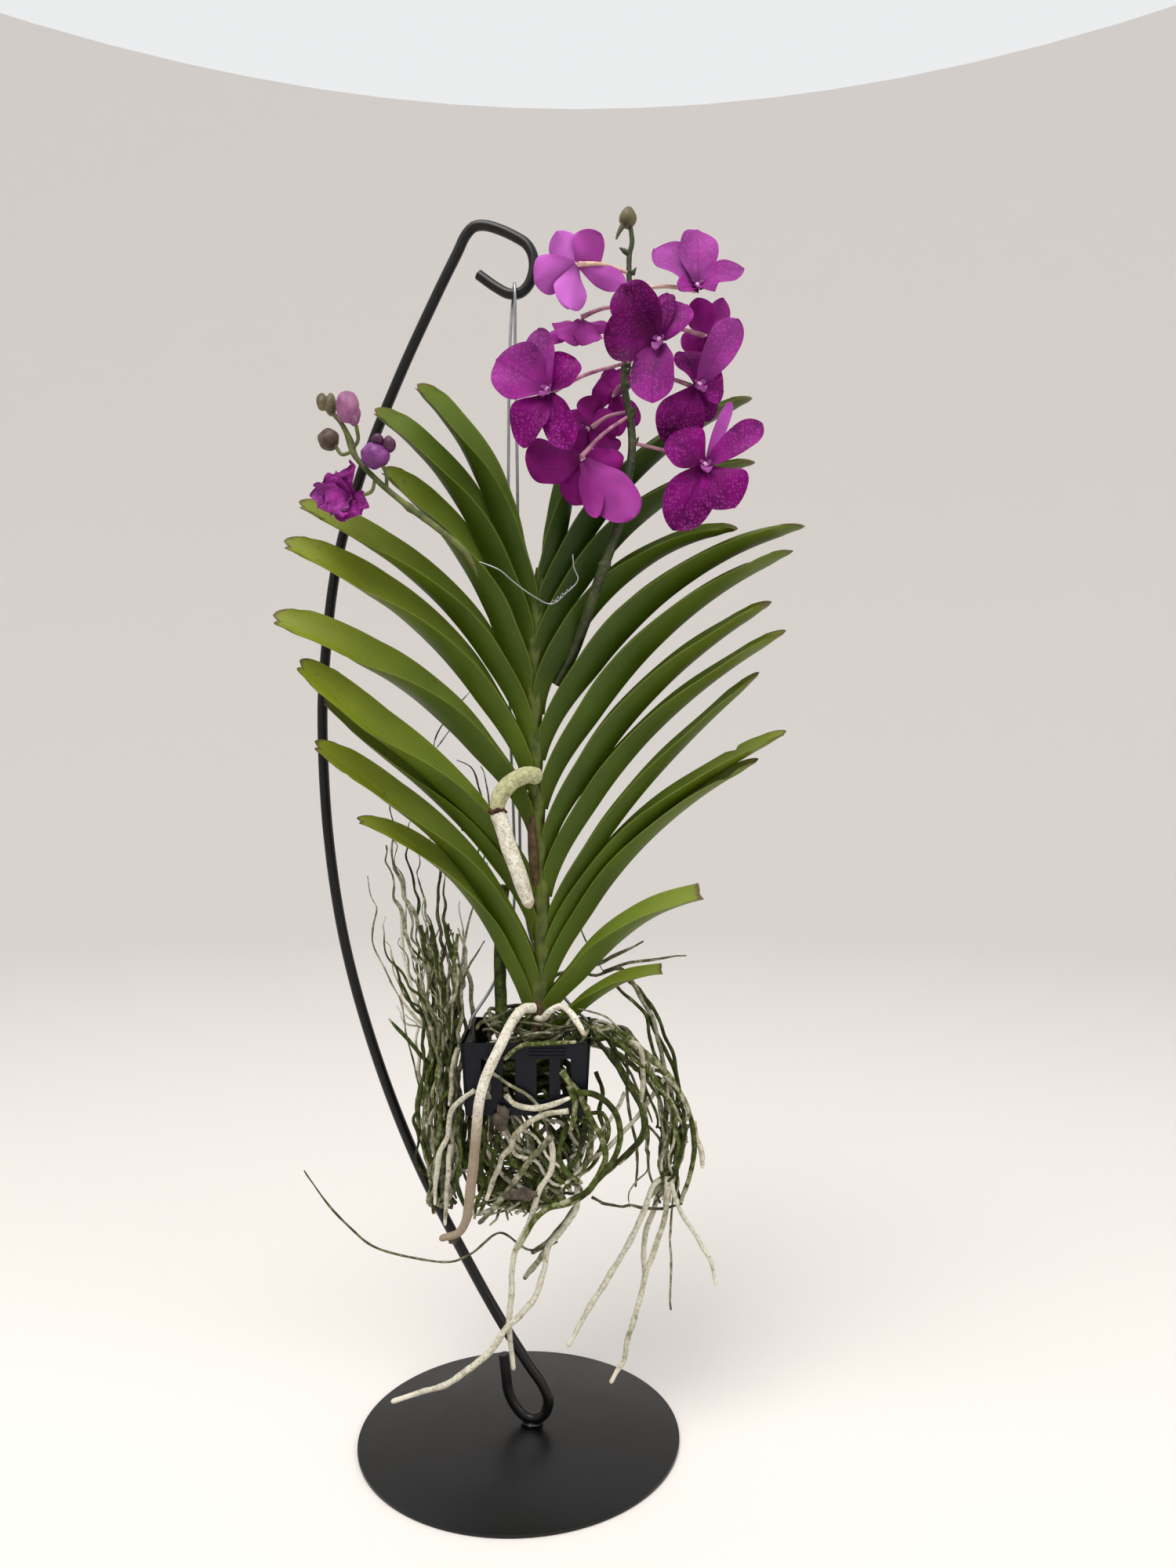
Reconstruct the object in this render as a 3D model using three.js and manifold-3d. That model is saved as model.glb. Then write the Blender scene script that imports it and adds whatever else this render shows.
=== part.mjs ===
// Potted vanda orchid hanging from a bent-rod hook stand, built as three.js meshes.
// Millimetres, +Z up, +Y away from the viewer. The origin is the base plate's bottom centre.
import * as THREE from "three";
import { mergeVertices } from "three/addons/utils/BufferGeometryUtils.js";
import Module from "manifold-3d";

const wasm = await Module();
wasm.setup();

// Driving dimensions
const GAP = 0.3; // clearance between touching pieces
const PLATE_RADIUS = 125;
const PLATE_THICK = 3;
const ROD_RADIUS = 4.2;
const ROD_TURN = THREE.MathUtils.degToRad(-14); // the rod's flat plane about +Z
const ROD_PLANE_Y = 10;
const WIRE_RADIUS = 1.25;
const TIE_RADIUS = 0.6;
const STEM_RADIUS = 4;
const LEAF_THICK = 1.2;
const LEAF_STATIONS = [0, 0.1, 0.2, 0.32, 0.45, 0.58, 0.71, 0.83, 0.94, 1];
const LEAF_BASE_REACH = 4.8; // from the stem's skin to a leaf's fold at its base
const SHEATH = 20; // how far a leaf's folded base runs down the stem
const STEM_STRIP = 2.2; // half the strip of stem left bare between the two rows of leaves
const TEPAL_THICK = 1.1;
const BASKET = { x: 7, y: 6, bottom: 261, height: 55, top: 97, foot: 91, wall: 2.6 };

const point = (p) => new THREE.Vector3(...p);
const sine = (degrees) => Math.sin(THREE.MathUtils.degToRad(degrees));
const cosine = (degrees) => Math.cos(THREE.MathUtils.degToRad(degrees));

// Seeded draws, so that every build grows the same plant
function seeded(seed) {
  let state = seed;
  return () => {
    state = (state * 1103515245 + 12345) % 2147483648;
    return state / 2147483648;
  };
}

// Materials, with the photograph's colours
const surface = (color, roughness, metalness = 0) =>
  new THREE.MeshStandardMaterial({ color, roughness, metalness });
const MATERIAL = {
  blackSteel: surface("#121315", 0.4, 0.6),
  wire: surface("#8d9092", 0.35, 1),
  basket: surface("#10141c", 0.45),
  stem: surface("#5c5a2a", 0.7),
  leaf: surface("#5d7a1f", 0.45),
  leafDark: surface("#35551f", 0.45),
  spike: surface("#3d4a20", 0.55),
  bloom: surface("#7d0f7a", 0.6),
  bud: surface("#6d5a45", 0.6),
  rootWhite: surface("#cfcbb2", 0.75),
  rootGreen: surface("#6f7a4e", 0.75),
  rootGrey: surface("#807a66", 0.85),
};

// Solids
function toSolid(geometry) {
  const bare = geometry.clone();
  bare.deleteAttribute("normal");
  bare.deleteAttribute("uv");
  const merged = mergeVertices(bare, 1e-3);
  return new wasm.Manifold(
    new wasm.Mesh({
      numProp: 3,
      vertProperties: merged.attributes.position.array,
      triVerts: new Uint32Array(merged.index.array),
    }),
  );
}

function toGeometry(solid) {
  const mesh = solid.getMesh();
  return new THREE.BufferGeometry()
    .setAttribute("position", new THREE.BufferAttribute(mesh.vertProperties, 3))
    .setIndex(new THREE.BufferAttribute(mesh.triVerts, 1));
}

function fuse(geometries) {
  return geometries.map(toSolid).reduce((whole, piece) => whole.add(piece));
}

// The largest body of a solid, for pieces that a cut leaves crumbs of
function largest(solid) {
  return solid.decompose().reduce((a, b) => (b.volume() > a.volume() ? b : a));
}

// A solid grown by the clearance, to trim the piece that sits on it
function grown(solid) {
  const shifts = [[GAP, 0, 0], [-GAP, 0, 0], [0, GAP, 0], [0, -GAP, 0], [0, 0, GAP], [0, 0, -GAP]];
  return shifts.map((shift) => solid.translate(shift)).reduce((whole, piece) => whole.add(piece));
}

const object = new THREE.Group();
const solids = {};

// Adds a node, trimmed to clear the earlier nodes that it sits on
function addNode(name, shape, material, seats = []) {
  let solid = shape.isBufferGeometry ? toSolid(shape) : shape;
  for (const seat of seats) solid = solid.subtract(grown(solids[seat]));
  solids[name] = largest(solid);
  const geometry = toGeometry(solids[name]);
  const mesh = new THREE.Mesh(geometry, material);
  mesh.name = name;
  object.add(mesh);
}

// A round bar along a smooth curve. The steps follow the given points, so bends with
// closer points get closer steps. endRadius tapers it towards its last point.
function bar(points, radius, { sides = 6, perSpan = 2, endRadius = radius } = {}) {
  const path = new THREE.CatmullRomCurve3(points.map(point), false, "centripetal");
  path.getUtoTmapping = (u) => u;
  const steps = (points.length - 1) * perSpan;
  const section = new THREE.Shape();
  for (let i = 0; i < sides; i++) {
    const turn = (i / sides) * 2 * Math.PI;
    section[i ? "lineTo" : "moveTo"](radius * Math.cos(turn), radius * Math.sin(turn));
  }
  section.closePath();
  const geometry = new THREE.ExtrudeGeometry(section, { steps, extrudePath: path });
  if (endRadius === radius) return geometry;
  const stations = path.getSpacedPoints(steps);
  const place = geometry.attributes.position;
  const vertex = new THREE.Vector3();
  for (let i = 0; i < place.count; i++) {
    vertex.fromBufferAttribute(place, i);
    const near = stations.reduce((best, s, k) =>
      s.distanceToSquared(vertex) < stations[best].distanceToSquared(vertex) ? k : best, 0);
    const along = near / steps;
    vertex.lerp(stations[near], along * (1 - endRadius / radius));
    place.setXYZ(i, vertex.x, vertex.y, vertex.z);
  }
  return geometry;
}

function ball(centre, radii, across = 8, high = 6) {
  const geometry = new THREE.SphereGeometry(1, across, high);
  return geometry.scale(...radii).translate(...centre);
}

function block(low, high) {
  const size = high.map((v, i) => v - low[i]);
  const middle = high.map((v, i) => (v + low[i]) / 2);
  return new THREE.BoxGeometry(...size).translate(...middle);
}

// One cross-section of a folded blade: a V of two thin halves that meet in the fold.
// half is the width of each half, opening the angle between a half and the up direction.
function foldedRing({ fold, up, across, half, opening, thick }) {
  const sin = sine(opening);
  const cos = cosine(opening);
  const side = (sign, inner) => {
    const out = up.clone().multiplyScalar(cos).addScaledVector(across, sign * sin);
    const inward = up.clone().multiplyScalar(sin).addScaledVector(across, -sign * cos);
    return fold.clone().addScaledVector(out, half).addScaledVector(inward, inner ? thick : 0);
  };
  const innerFold = fold.clone().addScaledVector(up, thick / Math.max(sin, 0.3));
  return [fold, side(1, false), side(1, true), innerFold, side(-1, true), side(-1, false)];
}

// Joins folded rings into a closed blade, with the same diagonals on both of its faces
function blade(rings) {
  const size = rings[0].length;
  const place = rings.flat().flatMap((v) => v.toArray());
  const faces = [];
  for (let i = 0; i < rings.length - 1; i++) {
    for (let j = 0; j < size; j++) {
      const a = i * size + j;
      const b = i * size + ((j + 1) % size);
      if (j === 2 || j === 5) faces.push(a, a + size, b, b, a + size, b + size);
      else faces.push(a, a + size, b + size, a, b + size, b);
    }
  }
  const last = (rings.length - 1) * size;
  for (let j = 1; j < size - 1; j++) {
    faces.push(0, j, j + 1);
    faces.push(last, last + j + 1, last + j);
  }
  return new THREE.BufferGeometry()
    .setAttribute("position", new THREE.Float32BufferAttribute(place, 3))
    .setIndex(faces);
}

// Turns a blade's faces outwards whichever way its rings run
function outward(geometry) {
  const solid = toSolid(geometry);
  if (solid.volume() > 0) return geometry;
  const index = geometry.index.array;
  for (let i = 0; i < index.length; i += 3) {
    [index[i + 1], index[i + 2]] = [index[i + 2], index[i + 1]];
  }
  return geometry;
}

// Base plate and bent rod
function basePlate() {
  const edge = 0.8;
  const profile = [
    [0, 0],
    [PLATE_RADIUS - edge, 0],
    [PLATE_RADIUS, edge],
    [PLATE_RADIUS, PLATE_THICK - edge],
    [PLATE_RADIUS - edge, PLATE_THICK],
    [0, PLATE_THICK],
  ].map(([r, z]) => new THREE.Vector2(r, z));
  return new THREE.LatheGeometry(profile, 44).rotateX(Math.PI / 2);
}

// The rod's centre line in its own flat plane, [across, height], from the hook's end
// round the hook, down the long bow and round the foot loop
const ROD_HOOK = [
  [-35, 918], [-21, 907], [-9, 900], [0, 900], [7, 906], [11, 918], [10, 929], [5, 938],
  [-6, 946], [-19, 953], [-30, 957], [-39, 957], [-46, 951], [-53, 938], [-69, 909],
];
const ROD_BOW = [
  [-103, 843], [-136, 768], [-159, 692], [-170, 608], [-172, 562], [-167, 471],
  [-152, 380], [-125, 291], [-88, 204], [-42, 123], [-16, 82], [7, 50],
];
const ROD_FOOT = [
  [18, 36], [23, 24], [20, 13], [12, 8], [4, 9], [-4, 16], [-10, 27], [-12, 40], [-14, 56],
];

function rodPoint([across, height]) {
  return [across * Math.cos(ROD_TURN), ROD_PLANE_Y + across * Math.sin(ROD_TURN), height];
}

function bentRod() {
  const centreLine = [...ROD_HOOK, ...ROD_BOW, ...ROD_FOOT].map(rodPoint);
  const rod = bar(centreLine, ROD_RADIUS, { sides: 6 });
  const [x, y] = rodPoint([10, 0]);
  const weld = ball([x, y, PLATE_THICK + GAP + 2.2], [8, 6, 4], 10, 6);
  const abovePlate = block([x - 20, y - 20, PLATE_THICK + GAP], [x + 20, y + 20, 30]);
  return toSolid(rod).add(toSolid(weld).intersect(toSolid(abovePlate)));
}

addNode("stand_plate", basePlate(), MATERIAL.blackSteel);
addNode("stand_rod", bentRod(), MATERIAL.blackSteel);

// Hanger wire: doubled over the hook's lowest bend, its two ends on the basket's rim
const HANGER_BACK = [
  [-40.2, 6, 316.5], [-39.5, 7, 322], [-22, 18, 350], [-8, 21, 390], [-9, 20, 573], [-10, 18, 698],
  [-10, 18, 784], [-9, 18, 858], [-7, 18, 893], [-6, 17.6, 901],
];
const HANGER_TOP = [[-5.5, 15, 906], [-5, 11, 907.6], [-4.5, 7, 906]];
const HANGER_FRONT = [
  [-4, 4.6, 900], [-4, 4.4, 890], [-4, 7, 850], [-3, 11, 784], [-2, 13, 698], [-1, 14, 573], [2, 16, 420],
  [14, 17, 370], [42, 10, 332], [53.4, 7, 322], [54.2, 6, 316.5],
];
addNode(
  "hanger_wire",
  bar([...HANGER_BACK, ...HANGER_TOP, ...HANGER_FRONT], WIRE_RADIUS, { perSpan: 1 }),
  MATERIAL.wire,
);

// Thin wire that ties the crown to the hanger, with its twisted free end
const CROWN_TIE = [
  [-30, -30, 679], [-20, -32, 675], [-12, -33, 671], [-4, -33, 664],
  [12, -35, 652], [26, -34, 646], [37, -35, 654], [46, -36, 664], [43, -36, 673], [42, -36, 683],
];

// Basket: a square frustum with a rim band, posts with slots between them and a barred floor
function frustum(topWidth, footWidth, low, high) {
  const root2 = Math.SQRT2;
  return new THREE.CylinderGeometry(topWidth / root2, footWidth / root2, high - low, 4, 1)
    .rotateY(Math.PI / 4)
    .rotateX(Math.PI / 2)
    .translate(BASKET.x, BASKET.y, (high + low) / 2);
}

function basketFrame() {
  const { x, y, bottom, height, top, foot, wall } = BASKET;
  const floor = 3;
  const outer = frustum(top, foot, bottom, bottom + height);
  const inner = frustum(top - 2 * wall, foot - 2 * wall, bottom + floor, bottom + height + 0.01);
  let basket = toSolid(outer).subtract(toSolid(inner));
  const slotLow = bottom + 12;
  const slotHigh = bottom + 43;
  const slots = [[-33.5, -26], [-17.5, -8], [8, 17.5], [26, 33.5]];
  for (const [from, to] of slots) {
    const acrossX = block([x + from, y - 60, slotLow], [x + to, y + 60, slotHigh]);
    const acrossY = block([x - 60, y + from, slotLow], [x + 60, y + to, slotHigh]);
    basket = basket.subtract(toSolid(acrossX)).subtract(toSolid(acrossY));
  }
  const barPitch = 19;
  for (let i = -1.5; i <= 1.5; i++) {
    const centre = x + i * barPitch;
    const hole = block([centre - 6.5, y - 34, bottom - 5], [centre + 6.5, y + 34, bottom + 8]);
    basket = basket.subtract(toSolid(hole));
  }
  return basket;
}
addNode("basket", basketFrame(), MATERIAL.basket);

// Stem: [x, y, z] up its middle, from its foot in the basket to the crown
const STEM_LINE = [
  [12, -2, 296], [14, -5, 312], [16, -8, 336], [18, -8, 388], [17, -8, 431], [15, -8, 473], [13, -8, 510],
  [12, -8, 540], [12, -8, 571], [11, -8, 601], [13, -8, 632], [15, -8, 650], [15, -8, 666],
];
addNode(
  "stem",
  bar(STEM_LINE, STEM_RADIUS, { sides: 8, perSpan: 1, endRadius: STEM_RADIUS - 1 }),
  MATERIAL.stem,
);

// Half the stem's width at a height
const stemRadius = (height) => STEM_RADIUS - (height - STEM_LINE[0][2]) / 370;

function stemAxis(height) {
  const above = STEM_LINE.findIndex((p) => p[2] > height);
  if (above < 1) return point(STEM_LINE[above < 0 ? STEM_LINE.length - 1 : 0]).setZ(height);
  const [from, to] = [STEM_LINE[above - 1], STEM_LINE[above]].map(point);
  return from.lerp(to, (height - from.z) / (to.z - from.z));
}

// Leaves. base is the height where the leaf leaves the stem and tip its end; rise and fall are
// the angles above the horizontal at which the band it shows leaves and arrives; roll turns
// its upper face towards the viewer at the tip.
const LEFT = -1;
const RIGHT = 1;
const LEAVES = [
  { name: "leaf_left_01", row: LEFT, base: 664, tip: [-78, -14, 821],
    rise: 74, fall: 38, half: 20, roll: 34 },
  { name: "leaf_left_02", row: LEFT, base: 637, tip: [-111, -16, 801],
    rise: 72, fall: 29, half: 20, roll: 36 },
  { name: "leaf_left_03", row: LEFT, base: 577, tip: [-84, 24, 757],
    rise: 72, fall: 50, half: 13, roll: 10, back: 10.6 },
  { name: "leaf_left_04", row: LEFT, base: 593, tip: [-104, -18, 755],
    rise: 76, fall: 32, half: 21, roll: 36 },
  { name: "leaf_left_05", row: LEFT, base: 556, tip: [-170, -16, 729],
    rise: 78, fall: 20, half: 19, roll: 40 },
  { name: "leaf_left_06", row: LEFT, base: 529, tip: [-181, -18, 698],
    rise: 70, fall: 17, half: 20, roll: 44 },
  { name: "leaf_left_07", row: LEFT, base: 496, tip: [-190, -16, 641],
    rise: 64, fall: 14, half: 21, roll: 46 },
  { name: "leaf_left_08", row: LEFT, base: 440, tip: [-168, -20, 606],
    rise: 62, fall: 38, half: 20, roll: 44 },
  { name: "leaf_left_09", row: LEFT, base: 412, tip: [-153, -4, 578],
    rise: 70, fall: 42, half: 12, roll: 34 },
  { name: "leaf_left_10", row: LEFT, base: 368, tip: [-159, -10, 544],
    rise: 75, fall: 29, half: 17, roll: 42 },
  { name: "leaf_left_11", row: LEFT, base: 342, tip: [-126, -12, 484],
    rise: 76, fall: 11, half: 12, roll: 40 },
  { name: "leaf_right_00", row: RIGHT, base: 676, tip: [42, -4, 778],
    rise: 80, fall: 78, half: 16, roll: 30 },
  { name: "leaf_right_01", row: RIGHT, base: 650, tip: [182, -4, 815],
    rise: 74, fall: 20, half: 18, roll: 20 },
  { name: "leaf_right_02", row: RIGHT, base: 624, tip: [185, -2, 765],
    rise: 72, fall: 9, half: 18, roll: 16 },
  { name: "leaf_right_03", row: RIGHT, base: 588, tip: [171, -6, 712],
    rise: 80, fall: 3, half: 17, roll: 20 },
  { name: "leaf_right_04", row: RIGHT, base: 552, tip: [223, -8, 714],
    rise: 68, fall: 12, half: 20, roll: 12 },
  { name: "leaf_right_05", row: RIGHT, base: 514, tip: [213, -10, 694],
    rise: 68, fall: 22, half: 19, roll: 8 },
  { name: "leaf_right_06", row: RIGHT, base: 477, tip: [196, -10, 654],
    rise: 69, fall: 29, half: 18, roll: 10 },
  { name: "leaf_right_07", row: RIGHT, base: 446, tip: [207, -12, 631],
    rise: 71, fall: 29, half: 15, roll: 10 },
  { name: "leaf_right_08", row: RIGHT, base: 417, tip: [186, -12, 598],
    rise: 64, fall: 41, half: 12, roll: 10 },
  { name: "leaf_right_09", row: RIGHT, base: 393, tip: [208, -8, 553],
    rise: 69, fall: 26, half: 14, roll: 14 },
  { name: "leaf_right_10", row: RIGHT, base: 371, tip: [186, -10, 531],
    rise: 69, fall: 26, half: 13, roll: 12 },
  { name: "leaf_right_11", row: RIGHT, base: 350, tip: [141, -14, 427],
    rise: 58, fall: 11, half: 15, roll: 20, cut: true },
  { name: "leaf_right_12", row: RIGHT, base: 334, tip: [111, -14, 367],
    rise: 42, fall: 2, half: 9, roll: 20, cut: true },
];

function leafRings({ row, base, tip, rise, fall, half, roll, cut, back = 0 }) {
  const start = stemAxis(base - SHEATH);
  const atBase = Math.min(11, 0.7 * half);
  start.x += row * (stemRadius(base) + LEAF_BASE_REACH - 0.3 * (11 - atBase));
  start.y += back;
  const end = point(tip);
  const reach = 0.36 * start.distanceTo(end);
  const leave = new THREE.Vector3(row * cosine(rise + 7), 0, sine(rise + 7));
  const arrive = new THREE.Vector3(row * cosine(fall), 0, sine(fall));
  const path = new THREE.CubicBezierCurve3(
    start,
    start.clone().addScaledVector(leave, reach),
    end.clone().addScaledVector(arrive, -reach),
    end,
  );
  const towardViewer = new THREE.Vector3(0, -1, 0);
  const rings = [];
  for (const along of LEAF_STATIONS) {
    const tangent = path.getTangentAt(along);
    const rise90 = new THREE.Vector3(-row * tangent.z, 0, row * tangent.x).normalize();
    const turn = roll * THREE.MathUtils.smoothstep(along, 0.12, 0.9);
    const up = rise90.clone().multiplyScalar(cosine(turn)).addScaledVector(towardViewer, sine(turn));
    const across = towardViewer.clone().multiplyScalar(cosine(turn)).addScaledVector(rise90, -sine(turn));
    const sheath = 1 - THREE.MathUtils.smoothstep(along, 0, 0.2);
    const opening = 26 + 10 * sheath + 36 * THREE.MathUtils.smoothstep(along, 0.15, 1);
    const swell = THREE.MathUtils.smoothstep(along, 0, 0.45);
    const taper = 1 - 0.15 * THREE.MathUtils.smoothstep(along, 0.6, 0.94);
    const blunt = along < 1 || cut ? 1 : 0.55;
    const width = (atBase + (half - atBase) * swell) * taper * blunt;
    const shownTop = width * cosine(opening - turn);
    const shownFoot = Math.min(0, width * cosine(opening + turn));
    const middle = ((shownTop + shownFoot) / 2) * THREE.MathUtils.smoothstep(along, 0, 0.3);
    const fold = path.getPointAt(along).addScaledVector(rise90, -middle);
    const ring = foldedRing({ fold, up, across, half: width, opening, thick: LEAF_THICK });
    if (along === 1 && !cut) notchTip(ring, tangent, width);
    rings.push(ring);
  }
  return rings;
}

// The real tip ends in two unequal lobes with a notch at the fold
function notchTip(ring, tangent, width) {
  const back = [0.3, 0, 0, 0.3, 0.12, 0.12];
  ring.forEach((corner, i) => corner.addScaledVector(tangent, -back[i] * width));
}

// Each leaf keeps to its own side of the stem and clear of the stem's skin
for (const leaf of LEAVES) {
  const axis = stemAxis(leaf.base);
  const edge = axis.x + leaf.row * STEM_STRIP;
  const keep = leaf.row > 0
    ? block([edge, -120, 250], [400, 120, 960])
    : block([-400, -120, 250], [edge, 120, 960]);
  const solid = toSolid(outward(blade(leafRings(leaf)))).intersect(toSolid(keep));
  const paint = leaf.base > 600 ? MATERIAL.leafDark : MATERIAL.leaf;
  addNode(leaf.name, solid, paint, ["stem"]);
}

addNode("crown_tie_wire", bar(CROWN_TIE, TIE_RADIUS, { sides: 5, perSpan: 1 }), MATERIAL.wire, [
  "leaf_left_02", "leaf_left_04",
]);

// Tepals: each is a folded blade from the bloom's centre to its own tip
const TEPAL_STATIONS = [0.05, 0.34, 0.64, 0.87, 1];
const LIP_STATIONS = [0.1, 1];

// A tepal is narrow at its claw, widest past its middle and blunt at its tip
function tepalWidth(station) {
  const claw = THREE.MathUtils.smoothstep(station, -0.2, 0.55);
  const tip = Math.sqrt(Math.max(0, 1 - ((station - 0.6) / 0.41) ** 2));
  return Math.max(0.14, station < 0.6 ? claw : tip);
}

function tepal(centre, facing, [dx, dy, dz, width], stations = TEPAL_STATIONS) {
  const reach = new THREE.Vector3(dx, dy, dz);
  const length = reach.length();
  const along = reach.clone().normalize();
  const face = facing.clone().addScaledVector(along, -facing.dot(along)).normalize();
  const across = along.clone().cross(face);
  const rings = stations.map((station) => {
    const arch = 0.09 * length * Math.sin(Math.PI * station);
    const fold = centre.clone().addScaledVector(along, station * length).addScaledVector(face, arch);
    const half = (tepalWidth(station) * width) / 2;
    return foldedRing({ fold, up: face, across, half, opening: 78, thick: TEPAL_THICK });
  });
  return outward(blade(rings));
}

// A bloom is its tepals round a short column, with the lip hanging in front of it
function bloom({ centre, facing, tepals }) {
  const middle = point(centre);
  const front = point(facing).normalize();
  const down = new THREE.Vector3(0, 0, -1);
  const lipReach = front.clone().multiplyScalar(11).addScaledVector(down, 7);
  const lip = tepal(middle, down.clone().negate(), [...lipReach.toArray(), 11], LIP_STATIONS);
  const column = ball(middle.clone().addScaledVector(front, 2).toArray(), [3.8, 3.8, 4.2], 5, 3);
  return fuse([column, lip, ...tepals.map((t) => tepal(middle, front, t))]);
}

// Blooms of the main spike. tepals are [x, y, z, width]: each tip's place from the centre.
const BLOOMS = [
  { name: "bloom_01", centre: [46, -44, 898], facing: [-0.35, 0.85, 0.35], foot: 897,
    tepals: [[-15, -4, 23, 26], [-33, -4, -14, 28], [-5, -6, -35, 26], [18, 0, 22, 28], [36, 4, -14, 18]] },
  { name: "bloom_02", centre: [48, -26, 864], facing: [-0.2, 0.8, -0.5], foot: 872,
    tepals: [[-36, -6, -20, 15], [-13, -12, -20, 20], [13, -10, -19, 24], [25, 8, -2, 14],
      [-22, 12, 2, 14]] },
  { name: "bloom_03", centre: [136, -30, 886], facing: [0.1, -0.9, 0.35], foot: 884,
    tepals: [[-31, 6, 34, 30], [1, 12, 48, 30], [36, 2, 17, 20], [12, -18, -8, 20], [-15, -14, -8, 18]] },
  { name: "bloom_04", centre: [107, -56, 836], facing: [-0.35, -0.85, -0.15], foot: 827,
    tepals: [[-28, 2, 42, 36], [-42, -2, 4, 38], [6, 8, 40, 18], [20, 4, 28, 26], [-6, -4, -48, 36]] },
  { name: "bloom_05", centre: [136, -40, 808], facing: [0.25, -0.95, 0.1], foot: 822,
    tepals: [[28, 0, 50, 26], [-24, 6, -40, 36], [20, 4, -2, 28], [8, 8, -24, 20], [-12, 8, 30, 22]] },
  { name: "bloom_06", centre: [144, -10, 858], facing: [0.3, 0.8, 0.2], foot: 858,
    tepals: [[15, 0, 29, 20], [-6, -2, 28, 24], [19, 2, 8, 18], [-17, 2, -9, 20], [6, 6, -22, 16]] },
  { name: "bloom_07", centre: [25, -58, 798], facing: [-0.4, -0.88, 0.15], foot: 829,
    tepals: [[-40, 4, 26, 42], [-8, 4, 47, 26], [21, -2, 22, 32], [-22, 4, -38, 32], [16, -8, -45, 26]] },
  { name: "bloom_08", centre: [49, -46, 753], facing: [0.15, 0.7, -0.1], foot: 789,
    tepals: [[-42, -4, -1, 38], [-6, 6, -34, 30], [11, -3, -46, 17], [39, -8, -47, 36], [32, 8, 2, 24]] },
  { name: "bloom_09", centre: [74, -17, 810], facing: [-0.1, 1, 0.1], foot: 812,
    tepals: [[-17, 2, 5, 30], [3, 4, -31, 17], [18, 6, -22, 20], [10, 6, 22, 18], [-4, 6, 24, 16]] },
  { name: "bloom_10", centre: [140, -50, 745], facing: [0.1, -0.95, 0.15], foot: 768,
    tepals: [[-27, 2, 22, 34], [21, 6, 52, 10], [44, 4, 33, 21], [21, -2, -32, 38], [-23, -2, -47, 38]] },
  { name: "bloom_11", centre: [55, -27, 781], facing: [-0.6, 0.75, 0], foot: 792,
    tepals: [[22, 2, 6, 26], [22, 2, -16, 24], [-8, 4, -28, 26], [-18, 2, 14, 28], [6, 2, 24, 26]] },
];
for (const flower of BLOOMS) addNode(flower.name, bloom(flower), MATERIAL.bloom);

// Main spike: a tapering stalk out of a right-hand leaf's fold, a pedicel to each bloom
const SPIKE_LINE = [
  [16, -12, 566], [31, -22, 592], [45, -26, 623], [55, -30, 644], [63, -32, 668], [73, -33, 694],
  [81, -34, 723], [85, -34, 747], [87, -33, 765], [86, -32, 783], [81, -31, 813], [82, -31, 837],
  [85, -31, 867], [85, -31, 911], [87, -31, 920], [86, -31, 931],
];

function spikeAxis(height) {
  const above = SPIKE_LINE.findIndex((p) => p[2] > height);
  const [from, to] = [SPIKE_LINE[above - 1], SPIKE_LINE[above]].map(point);
  return from.lerp(to, (height - from.z) / (to.z - from.z));
}

function pedicel({ centre, facing, foot }) {
  const start = spikeAxis(foot);
  const flower = point(centre);
  const behind = flower.clone().addScaledVector(point(facing).normalize(), -2.6);
  const lift = start.clone().lerp(behind, 0.55).add(new THREE.Vector3(0, 0, 3));
  return bar([start, lift, behind].map((v) => v.toArray()), 1.4, { sides: 3, perSpan: 2 });
}

function mainSpike() {
  const stalk = bar(SPIKE_LINE, 4.6, { sides: 8, perSpan: 1, endRadius: 1.8 });
  const joint = ball([66, -32, 675], [5.4, 5.4, 2.4], 8, 4);
  const bract = ball([81.5, -31, 915], [3.6, 1.2, 2], 6, 4);
  return fuse([stalk, joint, bract, ...BLOOMS.map(pedicel)]);
}

function topBud() {
  const body = ball([84, -31, 939], [7, 7, 8], 7, 5);
  const spur = bar([[81, -31, 934], [77, -31, 928], [75, -31, 923]], 2.4,
    { sides: 5, perSpan: 1, endRadius: 0.9 });
  return fuse([body, spur]);
}
addNode("spike_top_bud", topBud(), MATERIAL.bud);
addNode("flower_spike", mainSpike(), MATERIAL.spike, [
  ...BLOOMS.map((flower) => flower.name), "spike_top_bud", "stem", "leaf_right_03", "leaf_right_04",
  "leaf_right_05",
]);

// Second spike, with its buds and a wilted bloom
const SECOND_LINE = [
  [5, -17, 576], [0, -25, 590], [-8, -29, 612], [-20, -32, 648], [-29, -34, 670], [-40, -37, 686],
  [-58, -39, 701], [-80, -41, 717], [-105, -42, 738], [-121, -42, 756], [-125, -42, 768],
  [-131, -42, 780], [-138, -42, 788],
];

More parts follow.
